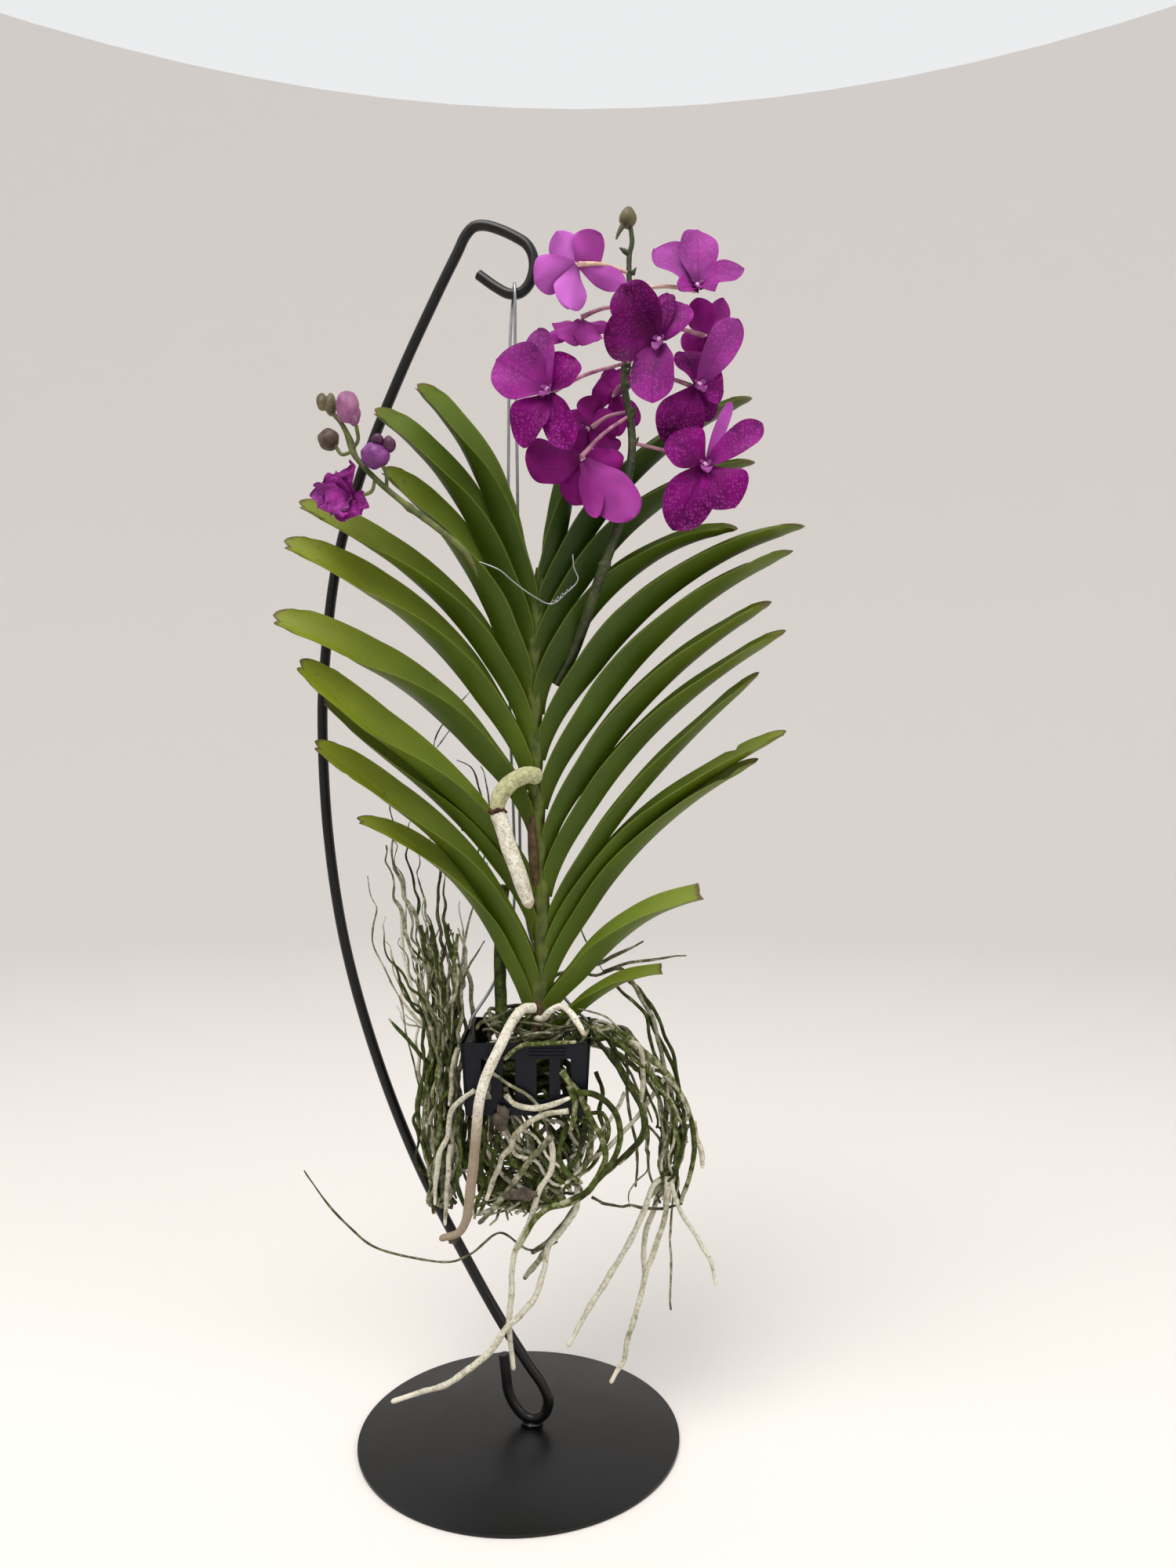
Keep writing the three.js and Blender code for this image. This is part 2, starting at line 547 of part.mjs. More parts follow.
function secondSpike() {
  const toPurple = [[-97, -42, 732], [-97, -46, 742], [-101, -48, 750]];
  const stalk = bar(SECOND_LINE, 3.4, { sides: 6, perSpan: 1, endRadius: 1.7 });
  const node = ball([-80, -41, 717], [4.2, 4.2, 4.2], 6, 4);
  const toViolet = [[-124, -43, 759], [-118, -45, 766], [-120, -47, 781]];
  const toBrown = [[-122, -42, 759], [-131, -41, 757], [-136, -40, 764]];
  const toWilted = [[-106, -42, 737], [-108, -43, 729], [-120, -45, 723]];
  const thin = (points) => bar(points, 1.4, { sides: 3, perSpan: 1 });
  const greenBud = [ball([-145, -42, 796], [5, 6, 6.5], 7, 4), ball([-139, -42, 794], [5, 6, 8], 7, 4)];
  const brownBud = ball([-141, -39, 769], [8.5, 8, 8.5], 7, 5);
  return fuse([stalk, node, ...greenBud, brownBud, ...[toViolet, toBrown, toWilted, toPurple].map(thin)]);
}

addNode("bud_violet", fuse([
  ball([-125, -49, 790], [9, 8, 12], 7, 5), ball([-120, -49, 784], [5, 5, 8], 5, 4),
]), MATERIAL.bloom);
addNode("bud_purple", fuse([
  ball([-104, -50, 754], [11, 9, 10], 7, 5), ball([-102, -52, 765], [4.5, 5, 4.5], 5, 3),
  ball([-94, -50, 762], [5, 5, 6], 5, 3),
]), MATERIAL.bloom);
addNode("wilted_bloom", bloom({
  centre: [-122, -46, 722], facing: [-0.5, -0.8, -0.2],
  tepals: [[-20, -2, -9, 20], [-13, 2, 12, 17], [2, 4, 25, 17], [-4, -6, -22, 24], [13, 2, -14, 17]],
}), MATERIAL.bloom);
addNode("second_spike", secondSpike(), MATERIAL.spike, [
  "bud_violet", "bud_purple", "wilted_bloom", "stem", "leaf_left_03", "leaf_left_04", "leaf_left_05",
]);

// Single roots that stand out of the mass
const ROOTS = [
  { name: "root_mid_stem", radius: 5.6, endRadius: 4.6, paint: MATERIAL.rootWhite, sides: 8,
    seats: ["leaf_left_06", "leaf_left_07", "leaf_right_06"],
    line: [[13, -18.5, 521], [4, -27, 523], [-6, -29, 516], [-13, -29, 507], [-17, -28, 495],
      [-12, -28, 486], [-6, -29, 468], [1, -29, 444], [8, -26, 421]] },
  { name: "root_front", radius: 4, endRadius: 3, paint: MATERIAL.rootWhite, sides: 8,
    seats: ["basket", "stem", "leaf_left_11", "leaf_right_12"],
    line: [[12, -12, 337], [4, -20, 337], [-3, -31, 331], [-11, -47, 317], [-20, -51, 298],
      [-26, -53, 279], [-29, -54, 255], [-31, -52, 230], [-34, -50, 205], [-37, -48, 185], [-43, -46, 176],
      [-55, -44, 171]] },
  { name: "root_right_short", radius: 2.6, endRadius: 2, paint: MATERIAL.rootWhite, sides: 6,
    seats: ["basket", "stem", "leaf_right_12", "root_front"],
    line: [[14, -11, 329], [19, -22, 330], [25, -25, 337], [33, -27, 341], [40, -31, 337],
      [46, -38, 330], [50, -45, 324]] },
  { name: "root_back_strap", radius: 4.8, endRadius: 4.8, paint: MATERIAL.rootGreen, sides: 8,
    seats: ["basket_roots", "leaf_left_10", "leaf_left_11"],
    line: [[-13, 6, 430], [-15, 6, 404], [-16, 6, 367], [-15, 4, 336], [-11, 4, 308], [-4, 5, 296]] },
  { name: "root_long_left", radius: 1.2, endRadius: 0.9, paint: MATERIAL.rootGrey, sides: 4,
    seats: ["root_hanging_middle"],
    line: [[30, -13, 156], [22, -13, 152], [8, -14, 150], [-14, -14, 163], [-37, -14, 147],
      [-52, -15, 141], [-86, -16, 146], [-110, -17, 153], [-133, -18, 172], [-151, -20, 194],
      [-164, -20, 213]] },
];

// Root bundles: every strand of a bundle starts inside the same knot, so each is one body
const strand = (points, radius = 2, sides = 3) => bar(points, radius, { sides, perSpan: 1 });

// Roots packed in the basket round the stem's foot
function basketFill() {
  const { x, y, bottom } = BASKET;
  const random = seeded(11);
  const pieces = [ball([x, y, bottom + 24], [26, 26, 19], 10, 6)];
  const turns = 8;
  for (let i = 0; i < turns; i++) {
    const around = (i / turns) * 2 * Math.PI;
    const spot = (reach, lift, lead) => [
      x + reach * Math.cos(around + lead),
      y + reach * Math.sin(around + lead),
      bottom + lift,
    ];
    const rise = 4 * random();
    pieces.push(strand([
      spot(18, 28, 0), spot(30, 40 + rise, 0.3), spot(38, 34, 0.7), spot(35, 12, 1.1), spot(33, 5, 1.3),
    ], 2.4));
  }
  return fuse(pieces);
}
addNode("basket_roots", basketFill(), MATERIAL.rootGreen, ["basket", "stem"]);

// Ball of roots wound below the basket, all drawn together at its lower left
const BALL_KNOT = [-8, -2, 182];

function rootBall() {
  const { x, y, bottom } = BASKET;
  const random = seeded(29);
  const pieces = [ball(BALL_KNOT, [22, 18, 11], 10, 6)];
  const arcs = 12;
  for (let i = 0; i < arcs; i++) {
    const around = (i / arcs) * 2 * Math.PI;
    const wide = 44 + 8 * random();
    const spot = (reach, height, lead) => [
      x + reach * Math.cos(around + lead),
      y + 0.8 * reach * Math.sin(around + lead),
      height,
    ];
    const drop = bottom - 30 - 14 * random();
    pieces.push(strand([
      spot(wide - 10, bottom + 1, 0),
      spot(wide + 4, drop + 6, 0.25),
      spot(wide - 6, drop - 22, 0.5),
      spot(wide - 26, 186 - 8 * random(), 0.6),
      BALL_KNOT,
    ], 2));
  }
  return fuse(pieces);
}
addNode("root_ball", rootBall(), MATERIAL.rootGreen, ["basket"]);

// Curtain of thin old roots that stands beside the basket, [x, y, z] from the knot upwards
const CURTAIN_KNOT = [-60, -4, 184];
const CURTAIN_TOPS = [
  [-103, 6, 495], [-92, 12, 488], [-78, 14, 472], [-58, 16, 450], [-46, 18, 416],
  [-98, -14, 408], [-84, -22, 392], [-72, 4, 420], [-60, 8, 398], [-50, -18, 380],
  [-108, 4, 324], [-64, -24, 352],
];

function rootCurtain() {
  const random = seeded(5);
  const pieces = [ball(CURTAIN_KNOT, [10, 9, 14], 7, 5)];
  for (const [x, y, z] of CURTAIN_TOPS) {
    const wave = () => 5 * (random() - 0.5);
    const waist = -58.4 + 0.5 * (x + 72);
    pieces.push(strand([
      [x, y, z],
      [x + 3 + wave(), y + wave(), z - 0.25 * (z - 300)],
      [waist + wave() + 2, 0.8 * y + wave(), 300 + 0.3 * (z - 300)],
      [waist + wave(), 0.9 * y + wave(), 262],
      [waist + wave() + 2, 0.8 * y + wave(), 222],
      CURTAIN_KNOT,
    ], 1.8));
  }
  return fuse(pieces);
}
addNode("root_curtain_left", rootCurtain(), MATERIAL.rootGrey, ["basket", "root_ball"]);

// Roots that arch out over the rim on the right and hang in a cluster
const CLUSTER_KNOT = [115, 2, 190];

function rightLoops() {
  const lines = [
    [[44, 2, 306], [53, 2, 318], [64, 2, 322], [78, 2, 318], [97, 2, 304], [115, 2, 279],
      [127, 2, 258], [135, 2, 239], [137, 2, 215], [126, 2, 184], CLUSTER_KNOT],
    [[64, 14, 369], [79, 14, 363], [97, 14, 338], [107, 12, 317], [113, 8, 293], [118, 6, 269],
      [117, 4, 233], CLUSTER_KNOT],
    [[62, -16, 321], [72, -20, 312], [84, -24, 288], [96, -24, 264], [108, -14, 232], CLUSTER_KNOT],
    [[61, 22, 321], [82, 22, 308], [104, 16, 270], [110, 8, 230], CLUSTER_KNOT],
    [[62, -16, 321], [60, 2, 322], [61, 22, 321], [64, 14, 369]],
    [[126, 2, 184], [104, 2, 178], [81, 0, 178], [66, -2, 186]],
  ];
  return fuse([ball(CLUSTER_KNOT, [9, 8, 12], 8, 6), ...lines.map((line) => strand(line, 2))]);
}
addNode("root_loops_right", rightLoops(), MATERIAL.rootGreen, ["basket", "hanger_wire"]);

// Roots that come out through the front and wind back under the basket
function frontLoops() {
  const lines = [
    [[37, -36, 298], [40, -43, 294], [48, -50, 283], [58, -52, 266], [65, -50, 247], [68, -46, 228],
      [63, -46, 212], [50, -46, 198], [24, -42, 180]],
    [[44, -47, 288], [62, -52, 278], [72, -50, 268], [78, -48, 252], [80, -46, 236], [74, -46, 219],
      [60, -46, 208]],
    [[-8, -46, 282], [-2, -49, 271], [19, -51, 268], [38, -52, 272], [48, -50, 283]],
  ];
  return fuse(lines.map((line) => strand(line, 2.3)));
}
addNode("root_loops_front", frontLoops(), MATERIAL.rootGreen, ["basket", "root_ball"]);

// Roots that hang below the ball, their growing tips white
function hangingMiddle() {
  const knot = [36, -12, 158];
  const lines = [
    [knot, [41, -12, 172], [44, -12, 188], [45.6, -8, 204]],
    [knot, [23, -14, 140], [14, -16, 115], [-10, -22, 92], [-36, -32, 67], [-70, -41, 54], [-91, -46, 50]],
    [knot, [18, -22, 152], [-3, -24, 140], [-6, -26, 91], [-3, -26, 64]],
    [knot, [26, -12, 134], [12, -10, 142]],
  ];
  return fuse([ball(knot, [8, 6, 6], 8, 4), ...lines.map((line) => strand(line, 2))]);
}
addNode("root_hanging_middle", hangingMiddle(), MATERIAL.rootWhite, ["root_ball"]);

function hangingRight() {
  const knot = [116, 0, 173];
  const lines = [
    [knot, [100, -3, 160], [84, -6, 145], [54, -15, 104], [39, -20, 80]],
    [knot, [104, 5, 151], [99, 6, 117]],
    [knot, [106, -12, 150], [98, -16, 126], [84, -24, 85], [71, -30, 57]],
    [knot, [119, 4, 139], [119, 4, 96]],
    [knot, [134, -6, 158], [146, -9, 146], [153, -12, 123]],
  ];
  return fuse([ball(knot, [8, 6, 7], 8, 4), ...lines.map((line) => strand(line, 1.8))]);
}
addNode("root_hanging_right", hangingRight(), MATERIAL.rootWhite, ["root_loops_right"]);

// The single roots go in last, each trimmed to what it grows from or lies on
for (const { name, line, radius, endRadius, sides, paint, seats } of ROOTS) {
  addNode(name, bar(line, radius, { sides, perSpan: 1, endRadius }), paint, seats);
}

export default object;
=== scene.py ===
import math

import bpy
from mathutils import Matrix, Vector, noise


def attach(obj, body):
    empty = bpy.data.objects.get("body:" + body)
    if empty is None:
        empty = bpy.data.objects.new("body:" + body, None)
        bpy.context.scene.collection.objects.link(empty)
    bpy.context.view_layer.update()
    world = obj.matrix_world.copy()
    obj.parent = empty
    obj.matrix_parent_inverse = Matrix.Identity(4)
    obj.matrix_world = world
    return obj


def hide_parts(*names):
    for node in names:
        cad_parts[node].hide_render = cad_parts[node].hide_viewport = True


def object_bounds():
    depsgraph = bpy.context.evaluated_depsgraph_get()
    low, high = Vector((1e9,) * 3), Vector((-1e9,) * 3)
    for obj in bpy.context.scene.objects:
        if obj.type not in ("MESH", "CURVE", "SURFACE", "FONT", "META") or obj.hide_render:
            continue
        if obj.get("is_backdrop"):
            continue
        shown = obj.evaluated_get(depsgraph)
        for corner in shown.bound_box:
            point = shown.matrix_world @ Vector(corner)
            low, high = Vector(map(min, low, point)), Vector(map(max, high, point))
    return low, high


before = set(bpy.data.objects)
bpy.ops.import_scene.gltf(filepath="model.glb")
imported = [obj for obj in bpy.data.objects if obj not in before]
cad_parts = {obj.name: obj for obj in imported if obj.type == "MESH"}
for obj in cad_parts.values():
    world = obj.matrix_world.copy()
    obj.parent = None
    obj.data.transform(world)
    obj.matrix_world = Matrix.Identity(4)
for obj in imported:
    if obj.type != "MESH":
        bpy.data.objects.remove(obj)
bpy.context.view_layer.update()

# Camera: level, 895 mm in front of the plate's centre and a little to its right, at half the
# stand's height. Its lens gives the photograph's 1454 px of focal length over a 2000 px side.
EYE = Vector((0.0536, -0.895, 0.510))
FOCAL_PX = 1454
camera_data = bpy.data.cameras.new("photo_camera")
camera_data.sensor_width = 36
camera_data.lens = 36 * FOCAL_PX / 2000
camera = bpy.data.objects.new("photo_camera", camera_data)
camera.location = EYE
camera.rotation_euler = (math.radians(90), 0, 0)
bpy.context.collection.objects.link(camera)
bpy.context.scene.camera = camera


# Floor and light: a wide matt floor that curves up into a round backdrop, both painted a pale warm
# grey, an even pale sky over it, and two large soft lamps, the stronger one high in front.
def linear(code):
    """An sRGB hex colour as linear values."""
    channels = [int(code[i:i + 2], 16) / 255 for i in (1, 3, 5)]
    return tuple(c / 12.92 if c <= 0.04045 else ((c + 0.055) / 1.055) ** 2.4 for c in channels) + (1,)


def add_node(tree, kind, values=None, links=None, **settings):
    """Adds a node, sets its properties, fills its inputs and links others' outputs to them."""
    made = tree.nodes.new(kind)
    for name, value in settings.items():
        setattr(made, name, value)
    for socket, value in (values or {}).items():
        made.inputs[socket].default_value = value
    for socket, source in (links or {}).items():
        tree.links.new(source, made.inputs[socket])
    return made


def new_surface(name, **values):
    """A material of that name with one Principled shader, whose plain inputs are set."""
    material = bpy.data.materials.new(name)
    material.use_nodes = True
    tree = material.node_tree
    tree.nodes.clear()
    shader = add_node(tree, "ShaderNodeBsdfPrincipled",
                      {key.replace("_", " "): value for key, value in values.items()})
    add_node(tree, "ShaderNodeOutputMaterial", links={"Surface": shader.outputs[0]})
    return material, tree, shader


def mesh_object(name, vertices, faces, materials, smooth=True):
    mesh = bpy.data.meshes.new(name)
    mesh.from_pydata([tuple(v) for v in vertices], [], faces)
    for material in materials:
        mesh.materials.append(material)
    mesh.polygons.foreach_set("use_smooth", [smooth] * len(mesh.polygons))
    mesh.update()
    made = bpy.data.objects.new(name, mesh)
    bpy.context.collection.objects.link(made)
    return made


# Matt emulsion paint: no gloss, one even tone
backdrop_paint, _, _ = new_surface("matt_backdrop_paint", Base_Color=linear("#e8e4e1"), Roughness=0.8)
FLOOR_REACH, BACKDROP_REACH, BACKDROP_TOP = 3.0, 5.0, 4.0
FLOOR_LOWER = 0.0002
BEND_STEPS, AROUND = 12, 96
bend = BACKDROP_REACH - FLOOR_REACH
profile = [(0.4, 0), (1.2, 0), (FLOOR_REACH, 0)]
for k in range(1, BEND_STEPS + 1):
    angle = math.pi / 2 * k / BEND_STEPS
    profile.append((FLOOR_REACH + bend * math.sin(angle), bend * (1 - math.cos(angle))))
profile.append((BACKDROP_REACH, BACKDROP_TOP))
points = [(0, 0, -FLOOR_LOWER)]
for radius, height in profile:
    points += [(radius * math.cos(2 * math.pi * k / AROUND), radius * math.sin(2 * math.pi * k / AROUND),
                height - FLOOR_LOWER) for k in range(AROUND)]
sheets = [(0, 1 + k, 1 + (k + 1) % AROUND) for k in range(AROUND)]
sheets += [(1 + i * AROUND + k, 1 + (i + 1) * AROUND + k, 1 + (i + 1) * AROUND + (k + 1) % AROUND,
            1 + i * AROUND + (k + 1) % AROUND) for i in range(len(profile) - 1) for k in range(AROUND)]
backdrop = mesh_object("floor_and_backdrop", points, sheets, [backdrop_paint])
backdrop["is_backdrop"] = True

world = bpy.data.worlds.new("room")
world.use_nodes = True
sky = world.node_tree.nodes["Background"]
sky.inputs["Color"].default_value = linear("#f1f2f3")
sky.inputs["Strength"].default_value = 0.95
bpy.context.scene.world = world
bpy.context.scene.view_settings.view_transform = "Standard"
for name, place, size, power in (
    ("ceiling_light", (-0.5, -1.0, 2.6), 1.4, 48),
    ("window_light", (1.8, -1.5, 1.5), 1.4, 14),
):
    lamp = bpy.data.lights.new(name, "AREA")
    lamp.size = size
    lamp.energy = power
    lamp.color = linear("#fffaf4")[:3]
    holder = bpy.data.objects.new(name, lamp)
    holder.location = place
    holder.rotation_euler = (Vector((0, 0, 0.5)) - Vector(place)).to_track_quat("-Z", "Y").to_euler()
    bpy.context.collection.objects.link(holder)


# Base plate: a 250 mm disc laser-cut from 3 mm steel sheet, its edge broken by hand, then powder
# coated satin black. The coat pools a little, so its gloss is uneven, and dust greys it.
def fit(piece, slot, *nodes):
    """Puts a finished piece on the one body and hides the nodes it replaces; slot is not used."""
    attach(piece, "root")
    if nodes:
        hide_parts(*nodes)


def powder_coat(name):
    """Satin black polyester powder: faint orange peel of 2 mm, soft broad highlights."""
    material, tree, shader = new_surface(name, IOR=1.5, Metallic=0.0, Specular_IOR_Level=0.35)
    place = add_node(tree, "ShaderNodeTexCoord").outputs["Object"]
    dust = add_node(tree, "ShaderNodeTexNoise", {"Scale": 18.0, "Detail": 6.0, "Roughness": 0.65},
                    {"Vector": place})
    coat = add_node(tree, "ShaderNodeMix", {6: linear("#020203"), 7: linear("#070707")},
                    {0: dust.outputs[0]}, data_type="RGBA")
    gloss = add_node(tree, "ShaderNodeMapRange", {"To Min": 0.24, "To Max": 0.48},
                     {"Value": dust.outputs[0]})
    peel = add_node(tree, "ShaderNodeTexNoise", {"Scale": 500.0, "Detail": 2.0}, {"Vector": place})
    bump = add_node(tree, "ShaderNodeBump", {"Strength": 0.12, "Distance": 0.0003},
                    {"Height": peel.outputs[0]})
    tree.links.new(coat.outputs[2], shader.inputs["Base Color"])
    tree.links.new(gloss.outputs[0], shader.inputs["Roughness"])
    tree.links.new(bump.outputs[0], shader.inputs["Normal"])
    return material


black_coat = powder_coat("powder_coated_steel")
PLATE_PROFILE = [(0, 0), (124.2, 0), (124.8, 0.25), (125, 0.8), (125, 2.2), (124.8, 2.75),
                 (124.2, 3), (0, 3)]
PLATE_STEPS = 160


def turned(name, profile, steps, material):
    """Turns a closed profile of (radius, height) in millimetres about the upright axis."""
    ring = profile[1:-1]
    vertices = [(0, 0, profile[0][1] / 1000), (0, 0, profile[-1][1] / 1000)]
    for k in range(steps):
        angle = 2 * math.pi * k / steps
        vertices += [(r * math.cos(angle) / 1000, r * math.sin(angle) / 1000, z / 1000) for r, z in ring]
    size = len(ring)
    at = lambda k, j: 2 + (k % steps) * size + j
    faces = []
    for k in range(steps):
        faces += [(at(k, j), at(k + 1, j), at(k + 1, j + 1), at(k, j + 1)) for j in range(size - 1)]
        faces.append((0, at(k + 1, 0), at(k, 0)))
        faces.append((1, at(k, size - 1), at(k + 1, size - 1)))
    return mesh_object(name, vertices, faces, [material])


plate = turned("round_plate", PLATE_PROFILE, PLATE_STEPS, black_coat)
plate.data.set_sharp_from_angle(angle=math.radians(40))
fit(plate, "black_steel", "stand_plate")

# Rod: 8.4 mm round steel bar bent cold into a hook, a long bow and a foot loop, which is welded
# to the plate with one rough bead, and powder coated together with it.
ROD_RADIUS = 4.2
ROD_TURN = math.radians(-14)
ROD_PLANE = 10
WELD_ALONG, WELD_HEIGHT, WELD_SIZE = 10, 4.6, (8.4, 6.4, 2.2)
ROD_LINE = [
    (-35, 918), (-21, 907), (-9, 900), (0, 900), (7, 906), (11, 918), (10, 929), (5, 938),
    (-6, 946), (-19, 953), (-30, 957), (-39, 957), (-46, 951), (-53, 938), (-69, 909),
    (-103, 843), (-136, 768), (-159, 692), (-170, 608), (-172, 562), (-167, 471),
    (-152, 380), (-125, 291), (-88, 204), (-42, 123), (-16, 82), (7, 50),
    (18, 36), (23, 24), (20, 13), (12, 8), (4, 9), (-4, 16), (-10, 27), (-12, 40), (-14, 56),
]


def smooth_line(points, step):
    """Centripetal Catmull-Rom through points in millimetres, one point every step of length."""
    knots = [Vector(p) for p in points]
    ends = [2 * knots[0] - knots[1]] + knots + [2 * knots[-1] - knots[-2]]
    line = []
    for a, b, c, d in zip(ends, ends[1:], ends[2:], ends[3:]):
        t1 = max((b - a).length, 1e-4) ** 0.5
        t2 = t1 + max((c - b).length, 1e-4) ** 0.5
        t3 = t2 + max((d - c).length, 1e-4) ** 0.5
        count = max(1, round((c - b).length / step))
        for k in range(count):
            t = t1 + (t2 - t1) * k / count
            a1 = a * ((t1 - t) / t1) + b * (t / t1)
            a2 = b * ((t2 - t) / (t2 - t1)) + c * ((t - t1) / (t2 - t1))
            a3 = c * ((t3 - t) / (t3 - t2)) + d * ((t - t2) / (t3 - t2))
            b1 = a1 * ((t2 - t) / t2) + a2 * (t / t2)
            b2 = a2 * ((t3 - t) / (t3 - t1)) + a3 * ((t - t1) / (t3 - t1))
            line.append(b1 * ((t2 - t) / (t2 - t1)) + b2 * ((t - t1) / (t2 - t1)))
    return line + [knots[-1]]


def growth_tree():
    """Runs a round section along every curve and raises lumps on its skin."""
    tree = bpy.data.node_groups.new("strand_growth", "GeometryNodeTree")
    sockets = [("Strands", "NodeSocketGeometry", None), ("Sides", "NodeSocketInt", 8),
               ("Lump height", "NodeSocketFloat", 0.0), ("Lump scale", "NodeSocketFloat", 200.0),
               ("Seed", "NodeSocketInt", 1), ("Skin", "NodeSocketMaterial", None)]
    for name, kind, value in sockets:
        socket = tree.interface.new_socket(name, in_out="INPUT", socket_type=kind)
        if value is not None:
            socket.default_value = value
    tree.interface.new_socket("Grown", in_out="OUTPUT", socket_type="NodeSocketGeometry")
    given = add_node(tree, "NodeGroupInput").outputs
    along = add_node(tree, "GeometryNodeSplineParameter")
    kept_along = add_node(tree, "GeometryNodeStoreNamedAttribute", {"Name": "along"},
                          {"Geometry": given["Strands"], "Value": along.outputs["Factor"]},
                          domain="POINT")
    draw = add_node(tree, "FunctionNodeRandomValue", links={"Seed": given["Seed"]})
    kept_hue = add_node(tree, "GeometryNodeStoreNamedAttribute", {"Name": "hue"},
                        {"Geometry": kept_along.outputs[0], "Value": draw.outputs[1]},
                        domain="CURVE")
    section = add_node(tree, "GeometryNodeCurvePrimitiveCircle", {"Radius": 1.0},
                       {"Resolution": given["Sides"]})
    thick = add_node(tree, "GeometryNodeInputRadius")
    tube = add_node(tree, "GeometryNodeCurveToMesh", {"Fill Caps": True},
                    {"Curve": kept_hue.outputs[0], "Profile Curve": section.outputs[0],
                     "Scale": thick.outputs[0]})
    lumps = add_node(tree, "ShaderNodeTexNoise", {"Detail": 1.0}, {"Scale": given["Lump scale"]})
    centred = add_node(tree, "ShaderNodeMath", {1: 0.5}, {0: lumps.outputs[0]}, operation="SUBTRACT")
    rise = add_node(tree, "ShaderNodeMath", links={0: centred.outputs[0], 1: given["Lump height"]},
                    operation="MULTIPLY")
    facing = add_node(tree, "GeometryNodeInputNormal")
    shift = add_node(tree, "ShaderNodeVectorMath", links={0: facing.outputs[0], "Scale": rise.outputs[0]},
                     operation="SCALE")
    moved = add_node(tree, "GeometryNodeSetPosition",
                     links={"Geometry": tube.outputs[0], "Offset": shift.outputs[0]})
    shaded = add_node(tree, "GeometryNodeSetShadeSmooth", links={"Geometry": moved.outputs[0]})
    real = add_node(tree, "GeometryNodeRealizeInstances", links={"Geometry": shaded.outputs[0]})
    skinned = add_node(tree, "GeometryNodeSetMaterial",
                       links={"Geometry": real.outputs[0], "Material": given["Skin"]})
    add_node(tree, "NodeGroupOutput", links={0: skinned.outputs[0]})
    return tree


strand_growth = growth_tree()


def grow(name, strands, skin, sides=10, lump=0.0, spacing=4.0, seed=1):
    """Grows strands, each a list of (x, y, z, radius) in millimetres, into one plain mesh."""
    data = bpy.data.curves.new(name + "_line", "CURVE")
    data.dimensions = "3D"
    for strand in strands:
        spline = data.splines.new("POLY")
        spline.points.add(len(strand) - 1)
        places = [v for x, y, z, _ in strand for v in (x / 1000, y / 1000, z / 1000, 1)]
        spline.points.foreach_set("co", places)
        spline.points.foreach_set("radius", [radius / 1000 for *_, radius in strand])
    holder = bpy.data.objects.new(name + "_line", data)
    bpy.context.collection.objects.link(holder)
    modifier = holder.modifiers.new("growth", "NODES")
    modifier.node_group = strand_growth
    ids = {s.name: s.identifier for s in strand_growth.interface.items_tree if s.in_out == "INPUT"}
    modifier[ids["Sides"]] = sides
    modifier[ids["Lump height"]] = lump / 1000
    modifier[ids["Lump scale"]] = 1000 / spacing
    modifier[ids["Seed"]] = seed
    modifier[ids["Skin"]] = skin
    holder.data.update_tag()
    graph = bpy.context.evaluated_depsgraph_get()
    mesh = bpy.data.meshes.new_from_object(holder.evaluated_get(graph), depsgraph=graph)
    holder.modifiers.remove(modifier)
    bpy.data.objects.remove(holder)
    mesh.name = name
    made = bpy.data.objects.new(name, mesh)
    bpy.context.collection.objects.link(made)
    return made


rod_points = [(a * math.cos(ROD_TURN), ROD_PLANE + a * math.sin(ROD_TURN), h) for a, h in ROD_LINE]
rod_strand = [(*p, ROD_RADIUS) for p in smooth_line(rod_points, 3)]
rod = grow("bent_rod", [rod_strand], black_coat, sides=24)
fit(rod, "black_steel", "stand_rod")


def lumpy_ball(name, centre, radii, material, lump=0.0, scale=0.2, seed=0, across=24, high=14,
               squash=None):
    """A closed round body in millimetres with soft lumps; squash reshapes its unit points."""
    vertices = [Vector((0, 0, -1))]
    for i in range(1, high):
        polar = math.pi * i / high
        vertices += [Vector((math.sin(polar) * math.cos(2 * math.pi * j / across),
                             math.sin(polar) * math.sin(2 * math.pi * j / across), -math.cos(polar)))
                     for j in range(across)]
    vertices.append(Vector((0, 0, 1)))
    at = lambda i, j: 1 + (i - 1) * across + j % across
    top = len(vertices) - 1
    faces = [(0, at(1, j + 1), at(1, j)) for j in range(across)]
    faces += [(at(i, j), at(i, j + 1), at(i + 1, j + 1), at(i + 1, j))
              for i in range(1, high - 1) for j in range(across)]
    faces += [(top, at(high - 1, j), at(high - 1, j + 1)) for j in range(across)]
    shaped = []
    for unit in vertices:
        spot = squash(unit.copy()) if squash else unit.copy()
        body = Vector((spot.x * radii[0], spot.y * radii[1], spot.z * radii[2]))
        swell = 1 + lump * noise.noise(body * scale + Vector((seed * 7.1, 0, 0)))
        shaped.append((Vector(centre) + body * swell) / 1000)
    return mesh_object(name, shaped, faces, [material])


weld_at = (WELD_ALONG * math.cos(ROD_TURN), ROD_PLANE + WELD_ALONG * math.sin(ROD_TURN), WELD_HEIGHT)
weld = lumpy_ball("weld_bead", weld_at, WELD_SIZE, black_coat, lump=0.35, scale=0.5, seed=3)
fit(weld, "black_steel")

